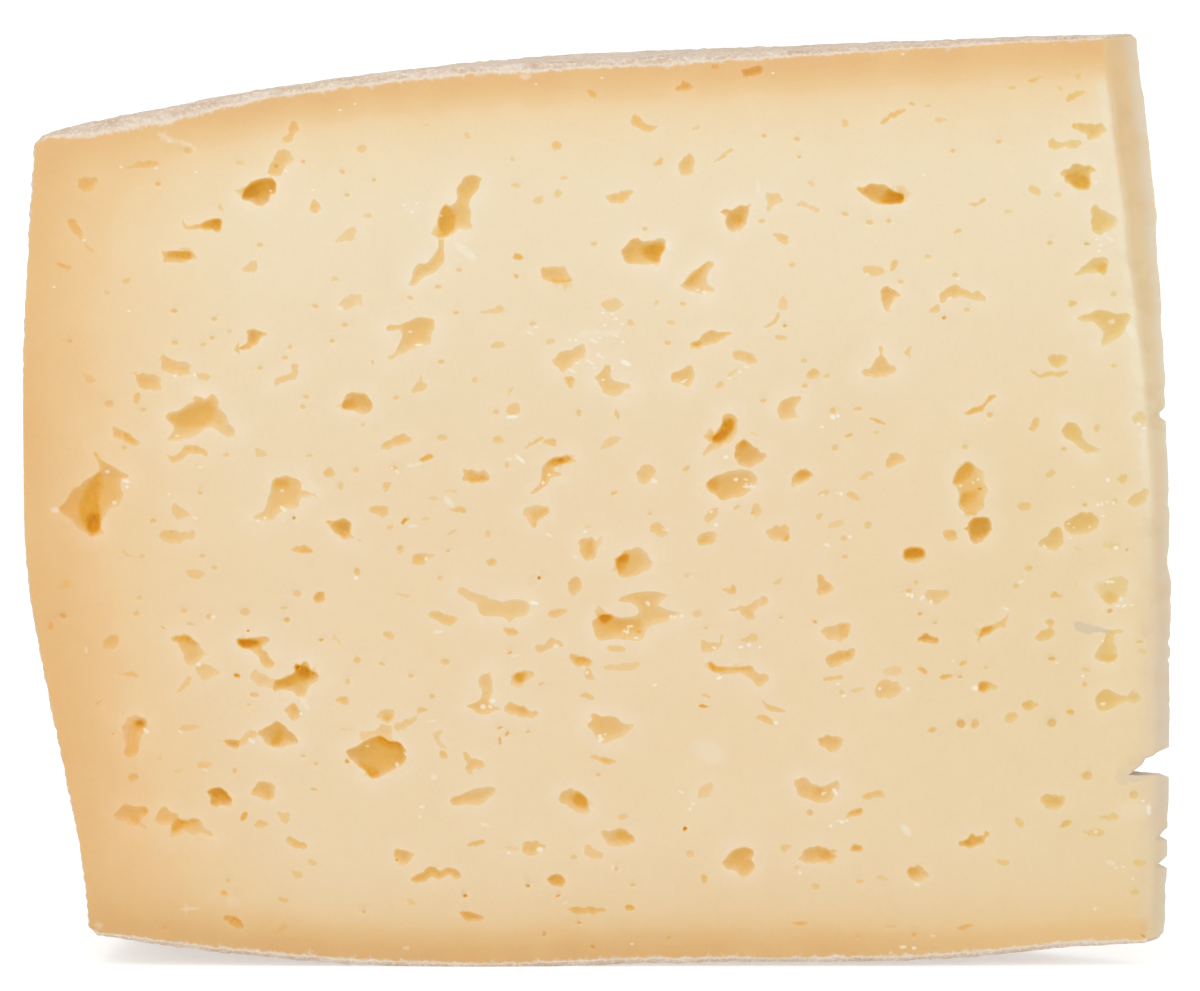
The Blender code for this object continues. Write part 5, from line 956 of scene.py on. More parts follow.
def make_face(boundary, eyes, hollows, specks, crystal_and_glint_marks, thin, base_gap, eye_gap, ring_gap, seed):
    """A flat cut, meshed around its eyes: points, faces, and the look at each point."""
    rng = np.random.default_rng(seed)
    loop = np.array(boundary)
    low, high = loop.min(0), loop.max(0)
    points, edges = [loop], [(k, (k + 1) % len(loop)) for k in range(len(loop))]
    count = len(loop)

    def safe(line, gap):
        well_in = (line[:, 0] > -158) & (line[:, 0] < -14) & (np.abs(line[:, 1]) < 53)
        if well_in.all():
            return well_in
        return inside(line, loop) & (distance(line, loop) > gap)

    placed, clear_places = [], []
    for level, line in eyes + [(-1.0, line) for line in thin]:
        line = rounded(line, rng, ring_gap, 0.13)
        ok = safe(line, 0.3)
        if not ok.any():
            continue
        if level < 0:
            level = 0.12
            clear_places.append(line)
        placed.append((level, line))
        if ok.all():
            points.append(line)
            edges += [(count + k, count + (k + 1) % len(line)) for k in range(len(line))]
            count += len(line)
        else:
            points.append(line[ok])
            count += int(ok.sum())
        outer = shrunk(line, -0.15)
        outer = outer[safe(outer, 0.3) & ~inside(outer, line)]
        if len(outer):
            outer = outer[distance(outer, line) > 0.12]
            points.append(outer)
            count += len(outer)
        for by in ((0.17, 0.5) if level > 0.3 else (0.3,)):
            ring = shrunk(line, by)
            keep = inside(ring, line) & safe(ring, 0.3)
            ring = ring[keep]
            if len(ring):
                ring = ring[distance(ring, line) > by * 0.8][::(1 if by < 0.2 else 2)]
                points.append(ring)
                count += len(ring)
        lo, hi = line.min(0), line.max(0)
        gx, gy = np.meshgrid(np.arange(lo[0], hi[0], eye_gap), np.arange(lo[1], hi[1], eye_gap))
        grid = np.column_stack([gx.ravel(), gy.ravel()])
        if len(grid):
            grid = grid + rng.uniform(-0.3, 0.3, grid.shape) * eye_gap
            grid = grid[inside(grid, line)]
            if len(grid):
                grid = grid[(distance(grid, line) > 0.62) & safe(grid, 0.3)]
                points.append(grid)
                count += len(grid)
    deep = [(level, rounded(line, rng, ring_gap, 0.03)) for level, line in hollows]
    for level, line in deep:
        keep = line[safe(line, 0.3)]
        points.append(keep)
        count += len(keep)
    for x, y, a, b, turn, level in specks:
        for grow, n in ((1.25, 10), (0.72, 7)):
            ring = ellipse(x, y, a, b, turn, n, grow)
            ring = ring[safe(ring, 0.25)]
            points.append(ring)
        points.append(np.array([[x, y]]))
    for x, y, a, b, turn, level in crystal_and_glint_marks:
        n = 8 if max(a, b) < 0.5 else 12
        for grow, k in ((1.45, n), (0.8, max(5, n - 3))):
            ring = ellipse(x, y, a, b, turn, k, grow)
            ring = ring[safe(ring, 0.25)]
            points.append(ring)
        points.append(np.array([[x, y]]))
    # an even spread of points elsewhere, closer near the outline
    gx, gy = np.meshgrid(np.arange(low[0], high[0], base_gap), np.arange(low[1], high[1], base_gap * 0.87))
    gx[::2] += base_gap / 2
    grid = np.column_stack([gx.ravel(), gy.ravel()])
    grid = grid + rng.uniform(-0.2, 0.2, grid.shape) * base_gap
    grid = grid[inside(grid, loop)]
    far = distance(grid, loop)
    grid = grid[far > 0.55 * base_gap]
    clear = np.ones(len(grid), bool)
    for level, line in placed:
        lo, hi = line.min(0) - 1, line.max(0) + 1
        near_by = np.where(clear & (grid > lo).all(1) & (grid < hi).all(1))[0]
        if len(near_by):
            clear[near_by] = ~inside(grid[near_by], line) & (distance(grid[near_by], line) > 0.35)
    points.append(grid[clear])
    band = shrunk(loop, 0.55)
    band = band[inside(band, loop)]
    band = band[distance(band, loop) > 0.4][::2]
    points.append(band)

    everything = np.vstack([p for p in points if len(p)])
    keep = np.ones(len(everything), bool)
    head = len(loop)
    keep[head:] = inside(everything[head:], loop)
    index = np.cumsum(keep) - 1
    edges = [(int(index[a]), int(index[b])) for a, b in edges if keep[a] and keep[b]]
    everything = everything[keep]
    verts, _, faces, orig, _, _ = delaunay_2d_cdt([Vector(p) for p in everything], edges, [], 1, 1e-5)
    flat = np.array([(v.x, v.y) for v in verts])
    home = {}
    for k, sources in enumerate(orig):
        for source in sources:
            if source < head:
                home[source] = k
    look = {name: np.zeros(len(flat)) for name in ("eye_shade", "white", "grey", "halo", "depth")}
    random = np.random.default_rng(seed + 100)
    for level, line in placed:
        lo, hi = line.min(0) - 1e-6, line.max(0) + 1e-6
        here = np.where((flat >= lo).all(1) & (flat <= hi).all(1))[0]
        if not len(here):
            continue
        reach = 0.5 * min(hi[0] - lo[0], hi[1] - lo[1])
        # painted light: a pale rim round the larger eyes, kept in halo
        if reach > 0.8 and level > 0.15:
            ring = np.where((flat >= lo - 3.2).all(1) & (flat <= hi + 3.2).all(1))[0]
            away = distance(flat[ring], line)
            pale = min(1.0, reach / 2.2) * smooth(1 - away / min(3.2, 1.2 + 0.8 * reach))
            look["halo"][ring] = np.maximum(look["halo"][ring], pale)
        d = distance(flat[here], line)
        within = inside(flat[here], line) | (d < 0.004)
        here, d = here[within], d[within]
        if not len(here):
            continue
        ease = 0.22 + 0.9 * (1 - level)
        widest = max(d.max(), 0.15)
        # painted shade: each eye is darker on one side, at a made-up angle mostly towards the upper left, and fades
        # into the paste on the other
        dark_side_turn = random.normal(2.3, 0.9)
        toward = (flat[here] - (lo + hi) / 2) @ np.array([math.cos(dark_side_turn), math.sin(dark_side_turn)])
        toward = toward / (0.5 * math.hypot(*(hi - lo)) + 0.1)
        side = smooth(0.6 + 0.65 * toward)
        rim = 0.62 - 0.5 * (1 - side) * smooth((widest - 0.35) / 0.8)
        shade = level * (rim + (1 - rim) * smooth(d / np.minimum(ease * (2.3 - 1.3 * side), widest)))
        shade *= 0.97 + (0.06 + 0.2 * level) * toward
        look["eye_shade"][here] = np.maximum(look["eye_shade"][here], shade)
        soft = 0.35 + 0.8 * (1 - level)
        full = (0.25 + 2.3 * level * level) * min(1.0, 0.35 + widest / 1.6)
        look["depth"][here] = np.maximum(look["depth"][here], full * (1 - np.exp(-d / soft)))
    # the deeper hollows: more depth and a deeper painted shade
    for level, line in deep:
        lo, hi = line.min(0) - 1.2, line.max(0) + 1.2
        here = np.where((flat >= lo).all(1) & (flat <= hi).all(1))[0]
        if not len(here):
            continue
        d = distance(flat[here], line)
        d = np.where(inside(flat[here], line), d, -d)
        part = smooth((d + 0.28) / 0.5)
        look["eye_shade"][here] = np.maximum(look["eye_shade"][here], look["eye_shade"][here] * (1 - part) + level * part)
        look["depth"][here] += 0.9 * level * level * smooth((d + 0.1) / 1.0) * (look["eye_shade"][here] > 0.05)
    for x, y, a, b, turn, level in specks:
        c, s = math.cos(turn), math.sin(turn)
        dx, dy = flat[:, 0] - x, flat[:, 1] - y
        r = np.hypot((c * dx + s * dy) / a, (-s * dx + c * dy) / b)
        here = r < 1.24
        part = smooth((1.22 - r[here]) / 0.6)
        look["eye_shade"][here] = np.maximum(look["eye_shade"][here], level * part)
        look["depth"][here] = np.maximum(look["depth"][here], (0.12 + 1.1 * level) * part * min(a, b) * 1.2)
    # white marks: crystal flecks and scuffs, with painted glints in the eyes and painted holes near the thin edge
    for x, y, a, b, turn, level in crystal_and_glint_marks:
        c, s = math.cos(turn), math.sin(turn)
        dx, dy = flat[:, 0] - x, flat[:, 1] - y
        r = np.hypot((c * dx + s * dy) / a, (-s * dx + c * dy) / b)
        here = r < 1.44
        part = smooth((1.42 - r[here]) / 0.7) * (1.0 if min(a, b) < 0.8 else 0.5)
        look["white"][here] = np.maximum(look["white"][here], level * part)
        look["depth"][here] -= 0.1 * level * part * (min(a, b) < 0.7)
    for line in clear_places:
        here = inside(flat, line) | (distance(flat, line) < 0.004)
        look["grey"][here] = 1.0
    look["depth"] = np.maximum(look["depth"], 0.0)
    return flat, [tuple(f) for f in faces], home, look


def to_mm(spec, grow=1.0):
    across, down, long, wide, turn, level = spec
    x, y = face_point(across, down)
    scale = 1 / 6.735
    return x, y, long * scale * 0.5 * grow, wide * scale * 0.5 * grow, -math.radians(turn), level


front_eyes = [(level, frame_line(flat)) for level, flat in EYES]
front_deep = [(level, frame_line(flat)) for level, flat in HOLLOWS]
front_specks = [to_mm(spec, 1.12) for spec in SPECKS]
front_white = [to_mm(spec, 1.08) for spec in CRYSTALS_AND_GLINTS]
front_thin = [frame_line(flat) for flat in THIN_PLACES]

front_loop = np.column_stack([start[:, 0], start[:, 2]])
flat_f, faces_f, home_f, look_f = make_face(
    front_loop, front_eyes, front_deep, front_specks, front_white, front_thin,
    1.6, 0.62, 0.38, 3)

# The rear cut was never seen, so its eyes are made up: the same kinds and sizes, strewn like those in front.
rear_along = np.array([math.cos(WEDGE_ANGLE), -math.sin(WEDGE_ANGLE)])
rear_loop = np.column_stack([-(end[:, 0] * -math.cos(WEDGE_ANGLE) + end[:, 1] * math.sin(WEDGE_ANGLE)), end[:, 2]])
rng = np.random.default_rng(77)


def made_eye(x, y, size):
    n = int(rng.integers(9, 15))
    t = np.sort(rng.uniform(0, 2 * math.pi, n)) * 0.5 + np.arange(n) * math.pi / n
    r = size * (0.75 + 0.35 * rng.random(n) + 0.22 * np.cos(2 * t + rng.uniform(0, 6.3)))
    turn, squash = rng.uniform(-0.5, 0.5), rng.uniform(0.4, 0.85)
    ex, ey = r * np.cos(t), r * np.sin(t) * squash
    c, s = math.cos(turn), math.sin(turn)
    return np.column_stack([x + c * ex - s * ey, y + s * ex + c * ey])


rear_eyes, spots = [], []
while len(rear_eyes) < (150):
    x, y = rng.uniform(-160, -6), rng.uniform(-57, 57)
    size = float(np.clip(rng.lognormal(0.35, 0.55), 0.5, 5.0))
    if all(math.hypot(x - a, y - b) > size + s + 1.2 for a, b, s in spots):
        spots.append((x, y, size))
        rear_eyes.append((float(np.clip(rng.normal(0.44, 0.12), 0.18, 0.8)), made_eye(x, y, size)))
rear_deep = [(float(rng.uniform(0.6, 0.95)), line.mean(0) + (line - line.mean(0)) * 0.45 + rng.normal(0, 0.25, 2))
             for level, line in rear_eyes if level > 0.5 and np.ptp(line[:, 0]) > 3.0]
rear_specks = [(rng.uniform(-158, -8), rng.uniform(-58, 58), rng.uniform(0.25, 0.7), rng.uniform(0.2, 0.4),
                rng.uniform(-0.6, 0.6), rng.uniform(0.15, 0.45)) for _ in range(110)]
rear_white = [(rng.uniform(-158, -8), rng.uniform(-60, 60), rng.uniform(0.2, 0.45), rng.uniform(0.15, 0.28),
               rng.uniform(-1, 1), rng.uniform(0.5, 1.0)) for _ in range(90)]
flat_r, faces_r, home_r, look_r = make_face(
    rear_loop, rear_eyes, rear_deep, rear_specks, rear_white, [],
    2.3, 0.85, 0.6, 4)

# ---- one closed surface ----

def cut_depth(flat, look, loop, seed):
    """How far each point of a cut lies below its plane."""
    edge = distance(flat, loop)
    thick = np.maximum(-flat[:, 0] - 2.0, 0.3) * 0.45  # half of the cheese there
    wave = 0.10 + 0.09 * Grain(seed, 24.0)(flat) + 0.04 * Grain(seed + 1, 6.0)(flat) + 0.012 * Grain(seed + 2, 1.6)(flat)
    depth = look["depth"] * smooth(edge / 0.8) + np.maximum(wave, 0) * smooth(edge / 6)
    return np.minimum(depth, thick), edge


depth_f, edge_f = cut_depth(flat_f, look_f, front_loop, 41)
depth_r, edge_r = cut_depth(flat_r, look_r, rear_loop, 51)

verts = [np.vstack(rows)]
faces = []
for j in range(M - 1):
    for i in range(N):
        k = (i + 1) % N
        faces.append((j * N + i, j * N + k, (j + 1) * N + k, (j + 1) * N + i))
base = M * N
own_f = np.full(len(flat_f), -1)
for i, k in home_f.items():
    own_f[k] = i
free = np.where(own_f < 0)[0]
own_f[free] = base + np.arange(len(free))
verts.append(np.column_stack([flat_f[free, 0], depth_f[free], flat_f[free, 1]]))
base += len(free)
own_r = np.full(len(flat_r), -1)
for i, k in home_r.items():
    own_r[k] = (M - 1) * N + i
free_r = np.where(own_r < 0)[0]
own_r[free_r] = base + np.arange(len(free_r))
c28, s28 = math.cos(WEDGE_ANGLE), math.sin(WEDGE_ANGLE)
verts.append(np.column_stack([flat_r[free_r, 0] * c28 - depth_r[free_r] * s28,
                              -flat_r[free_r, 0] * s28 - depth_r[free_r] * c28, flat_r[free_r, 1]]))
verts = np.vstack(verts)
# the front is seen from -Y, the rear from the other side
faces_front = [tuple(int(own_f[v]) for v in f) for f in faces_f]
faces_rear = [tuple(int(own_r[v]) for v in reversed(f)) for f in faces_r]

# ---- what each point looks like ----
total = len(verts)
look = {name: np.zeros(total) for name in ("eye_shade", "white", "grey", "halo", "zone", "low", "rind", "tip", "veil")}
for name in ("eye_shade", "white", "grey", "halo"):
    look[name][own_f[free]] = look_f[name][free]
    look[name][own_r[free_r]] = look_r[name][free_r]


def rind_near(x, w):
    """How dark the cheese is for being near its rind, and, for the bottom alone, how strong the painted shade along
    the bottom is.
    """
    u = -x
    top = height_at(1, u) - w
    bottom = w - height_at(-1, u)
    t = np.where(w > RIM_WIDEST[1], (w - RIM_WIDEST[1]) / (TOP_CORNER[1] - RIM_WIDEST[1]),
                 (RIM_WIDEST[1] - w) / (RIM_WIDEST[1] - BOTTOM_CORNER[1]))
    t = np.clip(t, 0, 1)
    rim_u = np.where(w > RIM_WIDEST[1], RIM_WIDEST[0] - (RIM_WIDEST[0] - TOP_CORNER[0]) * t ** UPPER_BULGE_POWER,
                     RIM_WIDEST[0] - (RIM_WIDEST[0] - BOTTOM_CORNER[0]) * smooth(t))
    side = rim_u - u
    flat_ramp = ([0, 2.1, 3.3, 4.5, 5.6, 6.8, 8, 11.6, 18.7], [1.05, 1, 0.85, 0.6, 0.47, 0.35, 0.25, 0.12, 0])
    rim_ramp = ([0, 2, 4, 9, 13, 17, 25, 35], [0.85, 0.78, 0.66, 0.47, 0.34, 0.24, 0.1, 0])
    z_top = np.interp(top, *flat_ramp)
    z_low = np.interp(bottom, *flat_ramp) * (0.5 + 0.4 * smooth((u - 20) / 60))
    z_rim = np.interp(side, *rim_ramp)
    zone = 1 - (1 - np.clip(z_top, 0, 1)) * (1 - np.clip(z_low, 0, 1)) * (1 - np.clip(z_rim, 0, 1))
    return zone, np.interp(bottom, [0, 2.5, 5, 9, 15], [1, 0.9, 0.6, 0.25, 0]) * (0.35 + 0.65 * smooth((u - 20) / 60)), top, bottom, side


xs, ws = verts[:, 0], verts[:, 2]
radius = np.hypot(verts[:, 0], verts[:, 1])
zone, low, top_gap, bottom_gap, side_gap = rind_near(-radius, ws)
uneven = Grain(31, 16.0)(verts) * 0.09 + Grain(32, 5.0)(verts) * 0.04
look["zone"] = np.clip(zone * (1 + uneven) + 0.02 * uneven, 0, 1)
# low: painted shade along the bottom
look["low"] = np.clip(low, 0, 1)
grid = np.arange(M * N).reshape(M, N)
for j in range(M):
    s = np.stack(share_of)[j]
    away = np.minimum(s, 1 - s) * length
    turn = np.clip(away / np.maximum(ROUND, 0.1), 0, 1)
    crust = np.where(SIDE == 1, smooth((turn - 0.55) / 0.5), 0.22 + 0.78 * turn)
    crust = np.where(SIDE == 3, 0.0, crust)
    look["rind"][grid[j]] = crust * smooth((u_here - 1.0) / 6)
    # on the thin edge's facet: painted shade, darkest just behind the front cut, paler higher up and towards the rear
    paler = 0.1 + 0.28 * smooth((rows[j][:, 2] + 16) / 30)
    look["tip"][grid[j]] = np.where(SIDE == 3, (0.62 + 0.33 * smooth(s / 0.16)) - paler * smooth((s - 0.3) / 0.6), 0)
    # veil: painted grey for light passing through the thin edge, growing towards the rear
    look["veil"][grid[j]] = np.where(SIDE == 3, smooth((s - 0.3) / 0.7), 0)
# on the cuts, the rind reaches a hair's breadth in
reach_in = np.where(-flat_f[:, 0] > 3, np.clip(1 - edge_f / 0.6, 0, 1), 0) * 0.22
reach_in *= 1 - smooth((-flat_f[:, 0] - 158) / 8) * smooth((58 - np.abs(flat_f[:, 1])) / 4)
tip_far = (-flat_f[:, 0]) - tip_shape(flat_f[:, 1])[1]
reach_in *= smooth(tip_far / 3)
look["rind"][own_f[free]] = reach_in[free]
# on the front cut near the thin edge: a pale band, then the facet's painted shade at the very edge
faint = 0.13 * smooth(1 - tip_far / 5) + 0.5 * smooth(1 - tip_far / 1.5)
look["tip"][own_f[free]] = faint[free]
# the rear cut near the thin edge gets the same painted grey
tip_far_r = (-flat_r[:, 0]) - tip_shape(flat_r[:, 1])[0] / math.cos(WEDGE_ANGLE)
look["veil"][own_r[free_r]] = smooth(1 - tip_far_r / 4)[free_r]
reach_r = np.clip(1 - edge_r / 0.75, 0, 1) * 0.3 * smooth((-flat_r[:, 0] - 4) / 4)
look["rind"][own_r[free_r]] = reach_r[free_r]

weave = np.zeros((total, 3))
for j in range(M):
    s = np.stack(share_of)[j]
    weave[grid[j], 0] = ALONG
    weave[grid[j], 1] = s * WEDGE_ANGLE * u_here
    weave[grid[j], 2] = np.where(SIDE == 1, 1.0, 0.0)

world = verts @ TO_ROW[:3, :3].T + TO_ROW[:3, 3]
box = np.array(CAD_BOX) * 1000.0
world = np.clip(world, box[0] + 0.004, box[1] - 0.004)
world[:, 2] = np.maximum(world[:, 2], 0.0)

mesh = bpy.data.meshes.new("cheese_wedge_skin")
mesh.from_pydata((world * MM).tolist(), [], faces + faces_front + faces_rear)
mesh.validate(verbose=False)
work = bmesh.new()
work.from_mesh(mesh)
bmesh.ops.recalc_face_normals(work, faces=work.faces)
open_edges = sum(1 for e in work.edges if len(e.link_faces) != 2)
volume = work.calc_volume(signed=True)
if volume < 0:
    bmesh.ops.reverse_faces(work, faces=work.faces)
work.to_mesh(mesh)
work.free()
for name, values in look.items():
    layer = mesh.attributes.new(name, "FLOAT", "POINT")
    layer.data.foreach_set("value", values.astype(np.float32))
layer = mesh.attributes.new("weave", "FLOAT_VECTOR", "POINT")
layer.data.foreach_set("vector", weave.astype(np.float32).ravel())
mesh.polygons.foreach_set("use_smooth", [True] * len(mesh.polygons))
triangles = sum(len(p.vertices) - 2 for p in mesh.polygons)
print("triangles", triangles, "open edges", open_edges, "volume cm3", round(abs(volume) * 1e6, 1), "front", len(faces_front),
      "rear", len(faces_rear), "outside", 2 * len(faces), "loop", N, "missing", N - len(home_f), N - len(home_r))

# ---- the material ----

def linear(rgb):
    return tuple((c / 255 / 12.92 if c / 255 <= 0.04045 else ((c / 255 + 0.055) / 1.055) ** 2.4) for c in rgb) + (1.0,)


class Nodes:
    """A short way to write down a node tree."""

    def __init__(self, tree):
        self.tree = tree

    def new(self, kind, **settings):
        node = self.tree.nodes.new(kind)
        for key, value in settings.items():
            setattr(node, key, value)
        return node

    def put(self, value, socket):
        if isinstance(value, bpy.types.NodeSocket):
            self.tree.links.new(value, socket)
        else:
            socket.default_value = value

    def attribute(self, name, what="Fac"):
        return self.new("ShaderNodeAttribute", attribute_type="GEOMETRY", attribute_name=name).outputs[what]

    def math(self, what, a, b=0.0, clamp=False):
        node = self.new("ShaderNodeMath", operation=what, use_clamp=clamp)
        self.put(a, node.inputs[0])
        self.put(b, node.inputs[1])
        return node.outputs[0]

    def noise(self, where, scale, detail=3.0, rough=0.55):
        node = self.new("ShaderNodeTexNoise")
        self.put(where, node.inputs["Vector"])
        node.inputs["Scale"].default_value = scale
        node.inputs["Detail"].default_value = detail
        node.inputs["Roughness"].default_value = rough
        return node.outputs["Fac"]

    def scaled(self, where, x, y, z):
        node = self.new("ShaderNodeMapping")
        self.put(where, node.inputs["Vector"])
        node.inputs["Scale"].default_value = (x, y, z)
        return node.outputs["Vector"]

    def span(self, value, a, b, c=0.0, d=1.0):
        node = self.new("ShaderNodeMapRange", interpolation_type="SMOOTHSTEP")
        self.put(value, node.inputs["Value"])
        for name, number in zip(("From Min", "From Max", "To Min", "To Max"), (a, b, c, d)):
            node.inputs[name].default_value = number
        return node.outputs["Result"]

    def mix(self, share, a, b, blend="MIX"):
        node = self.new("ShaderNodeMix", data_type="RGBA", blend_type=blend, clamp_factor=True)
        self.put(share, node.inputs[0])
        self.put(a, node.inputs[6])
        self.put(b, node.inputs[7])
        return node.outputs[2]

    def ramp(self, value, stops):
        node = self.new("ShaderNodeValToRGB")
        self.put(value, node.inputs["Fac"])
        items = node.color_ramp.elements
        while len(items) < len(stops):
            items.new(0.5)
        for item, (place, rgb) in zip(items, stops):
            item.position = place
            item.color = linear(rgb)
        return node.outputs["Color"]


def cheese_material():
    material = bpy.data.materials.new("cheese")
    material.use_nodes = True
    n = Nodes(material.node_tree)
    n.tree.nodes.clear()
    where = n.scaled(n.new("ShaderNodeTexCoord").outputs["Object"], 1000.0, 1000.0, 1000.0)  # in mm

    zone, eye_shade, white = n.attribute("zone"), n.attribute("eye_shade"), n.attribute("white")
    low, rind, tip, grey = n.attribute("low"), n.attribute("rind"), n.attribute("tip"), n.attribute("grey")
    halo = n.attribute("halo")

    cloud = n.noise(where, 0.055, 1.0)
    patch = n.noise(where, 0.22, 2.0)
    fine = n.noise(where, 1.3, 3.0, 0.6)
    crumb = n.noise(where, 4.5, 1.0, 0.6)

    shifted = n.math("ADD", zone, n.math("MULTIPLY", n.math("SUBTRACT", patch, 0.5), 0.10), clamp=True)
    paste = n.ramp(shifted, PASTE)
    height = n.new("ShaderNodeSeparateXYZ")
    n.put(where, height.inputs[0])
    # painted shade: the paste darker and more orange towards the bottom of the cut; the line after makes it a little
    # yellower there towards the thin edge
    lower_shade = n.span(height.outputs["Z"], 125.0, 55.0)
    paste = n.mix(n.math("MULTIPLY", lower_shade, 0.9), paste, n.mix(1.0, paste, LOWER_SHADE, "MULTIPLY"))
    tipward = n.math("MULTIPLY", lower_shade, n.span(height.outputs["X"], 20.0, 80.0))
    paste = n.mix(tipward, paste, n.mix(1.0, paste, (0.985, 0.985, 0.93, 1), "MULTIPLY"))
    # painted shade: darker and greyer along the bottom
    paste = n.mix(n.math("MULTIPLY", low, 0.85), paste, n.mix(1.0, paste, BOTTOM_SHADE, "MULTIPLY"))
    paste = n.mix(n.span(cloud, 0.35, 0.7, 0.0, 0.35), paste, n.mix(1.0, paste, (0.985, 0.965, 0.93, 1), "MULTIPLY"))
    dust = n.noise(where, 5.0, 1.0, 0.7)
    paste = n.mix(n.span(dust, 0.5, 0.8, 0.0, 0.5), paste, n.mix(1.0, paste, (1.02, 1.03, 1.06, 1), "MULTIPLY"))
    paste = n.mix(n.span(dust, 0.5, 0.2, 0.0, 0.5), paste, n.mix(1.0, paste, (0.97, 0.95, 0.9, 1), "MULTIPLY"))
    paste = n.mix(n.span(fine, 0.52, 0.75, 0.0, 0.35), paste, n.mix(1.0, paste, (1.02, 1.02, 1.04, 1), "MULTIPLY"))
    paste = n.mix(n.span(fine, 0.48, 0.25, 0.0, 0.4), paste, n.mix(1.0, paste, (0.975, 0.95, 0.90, 1), "MULTIPLY"))

    # painted shade in the eyes: darker and more golden deeper in, and brighter than plain shade to stand in for light
    # glowing through the cheese
    mottled = n.math("ADD", eye_shade, n.math("MULTIPLY", n.math("SUBTRACT", fine, 0.5), 0.16), clamp=True)
    hollow = n.ramp(mottled, EYE_SHADE_COLOURS)
    hollow = n.mix(n.span(height.outputs["X"], 45.0, 80.0), hollow, n.mix(1.0, hollow, (0.97, 1.03, 0.98, 1), "MULTIPLY"))
    darker = n.mix(1.0, hollow, n.mix(1.0, paste, linear(PASTE[0][1]), "DIVIDE"), "MULTIPLY")
    hollow = n.mix(n.span(eye_shade, 0.8, 0.35, 0.3, 0.75), hollow, darker)
    # painted light: the paste paler and whiter round the eyes' lips
    paste = n.mix(n.math("MULTIPLY", halo, n.span(patch, 0.35, 0.6, 0.3, 0.9)), paste,
                  n.mix(1.0, paste, (1.03, 1.07, 1.18, 1), "MULTIPLY"))
    colour = n.mix(n.span(eye_shade, 0.02, 0.12), paste, hollow)
    # the thin edge: a pale band on the cut, lighter higher up, then the facet in painted shade
    pale = n.mix(n.span(height.outputs["Z"], 50.0, 85.0), linear((230, 205, 168)), linear((240, 223, 194)))
    pale = n.mix(n.span(zone, 0.1, 0.6), pale, paste)
    thin_edge = n.mix(n.span(tip, 0.12, 0.85), pale, n.ramp(n.span(height.outputs["Z"], 0.0, 140.0), TIP_FACET_SHADE))
    thin_edge = n.mix(n.span(patch, 0.5, 0.68, 0.0, 0.7), thin_edge, n.mix(1.0, thin_edge, (0.95, 0.91, 0.86, 1), "MULTIPLY"))
    cover = n.math("MULTIPLY", n.span(tip, 0.0, 0.16), n.span(eye_shade, 0.2, 0.05, 0.25, 1.0))
    colour = n.mix(cover, colour, thin_edge)
    # painted grey for light passing through the thin cheese: the veil near the edge, then the thin places
    veiled = n.math("MULTIPLY", n.attribute("veil"), n.span(patch, 0.35, 0.65, 0.9, 0.6))
    colour = n.mix(veiled, colour, linear((219, 208, 190)))
    colour = n.mix(n.math("MULTIPLY", grey, 0.85), colour, linear((216, 196, 172)))
    # white: crystal flecks and scuffs, with painted glints in the eyes and painted holes near the thin edge
    frost_and_glint = n.math("MULTIPLY", white, n.span(crumb, 0.25, 0.55, 0.65, 1.0))
    colour = n.mix(n.math("MULTIPLY", frost_and_glint, 0.72), colour, linear((250, 243, 231)))

    # the rind: pale, streaked with tan, with the print of a cloth and a pale fringe where it meets the cut
    weave = n.new("ShaderNodeSeparateXYZ")
    n.put(n.attribute("weave", "Vector"), weave.inputs[0])
    along = n.math("SINE", n.math("MULTIPLY", weave.outputs["X"], 2 * math.pi / 1.45))
    over = n.math("SINE", n.math("MULTIPLY", weave.outputs["Y"], 2 * math.pi / 1.40))
    threads = n.math("MAXIMUM", along, over)
    streaks = n.noise(n.scaled(where, 0.35, 1.0, 1.0), 0.5, 3.0, 0.6)
    spots = n.noise(where, 0.9, 2.0, 0.65)
    crust = n.ramp(streaks, RIND)
    grit = n.noise(where, 2.0, 1.0, 0.7)
    crust = n.mix(n.span(grit, 0.52, 0.7, 0.0, 0.35), crust, linear((198, 169, 148)))
    crust = n.mix(n.span(grit, 0.48, 0.3, 0.0, 0.55), crust, linear((244, 233, 221)))
    crust = n.mix(n.span(spots, 0.55, 0.72, 0.0, 0.35), crust, linear((200, 169, 142)))
    crust = n.mix(n.span(spots, 0.45, 0.28, 0.0, 0.6), crust, linear((240, 228, 214)))
    pressed = n.math("MULTIPLY", n.span(threads, 0.2, 0.95), n.span(patch, 0.35, 0.6, 0.35, 1.0))
    pressed = n.math("MULTIPLY", pressed, n.span(weave.outputs["Z"], 0.0, 1.0, 0.3, 0.8))
    crust = n.mix(pressed, crust, n.mix(1.0, crust, (0.84, 0.79, 0.74, 1), "MULTIPLY"))
    wavy = n.math("ADD", rind, n.math("MULTIPLY", n.math("SUBTRACT", n.noise(where, 0.8, 2.0, 0.7), 0.5), 0.5))
    fringe = n.math("MULTIPLY", n.span(wavy, 0.14, 0.26), n.span(wavy, 0.5, 0.3))
    crust = n.mix(n.math("MULTIPLY", fringe, n.span(spots, 0.3, 0.6, 0.35, 0.85)), crust, linear((240, 226, 210)))
    colour = n.mix(n.math("MULTIPLY", n.span(wavy, 0.12, 0.38), n.span(rind, 0.0, 0.08)), colour, crust)

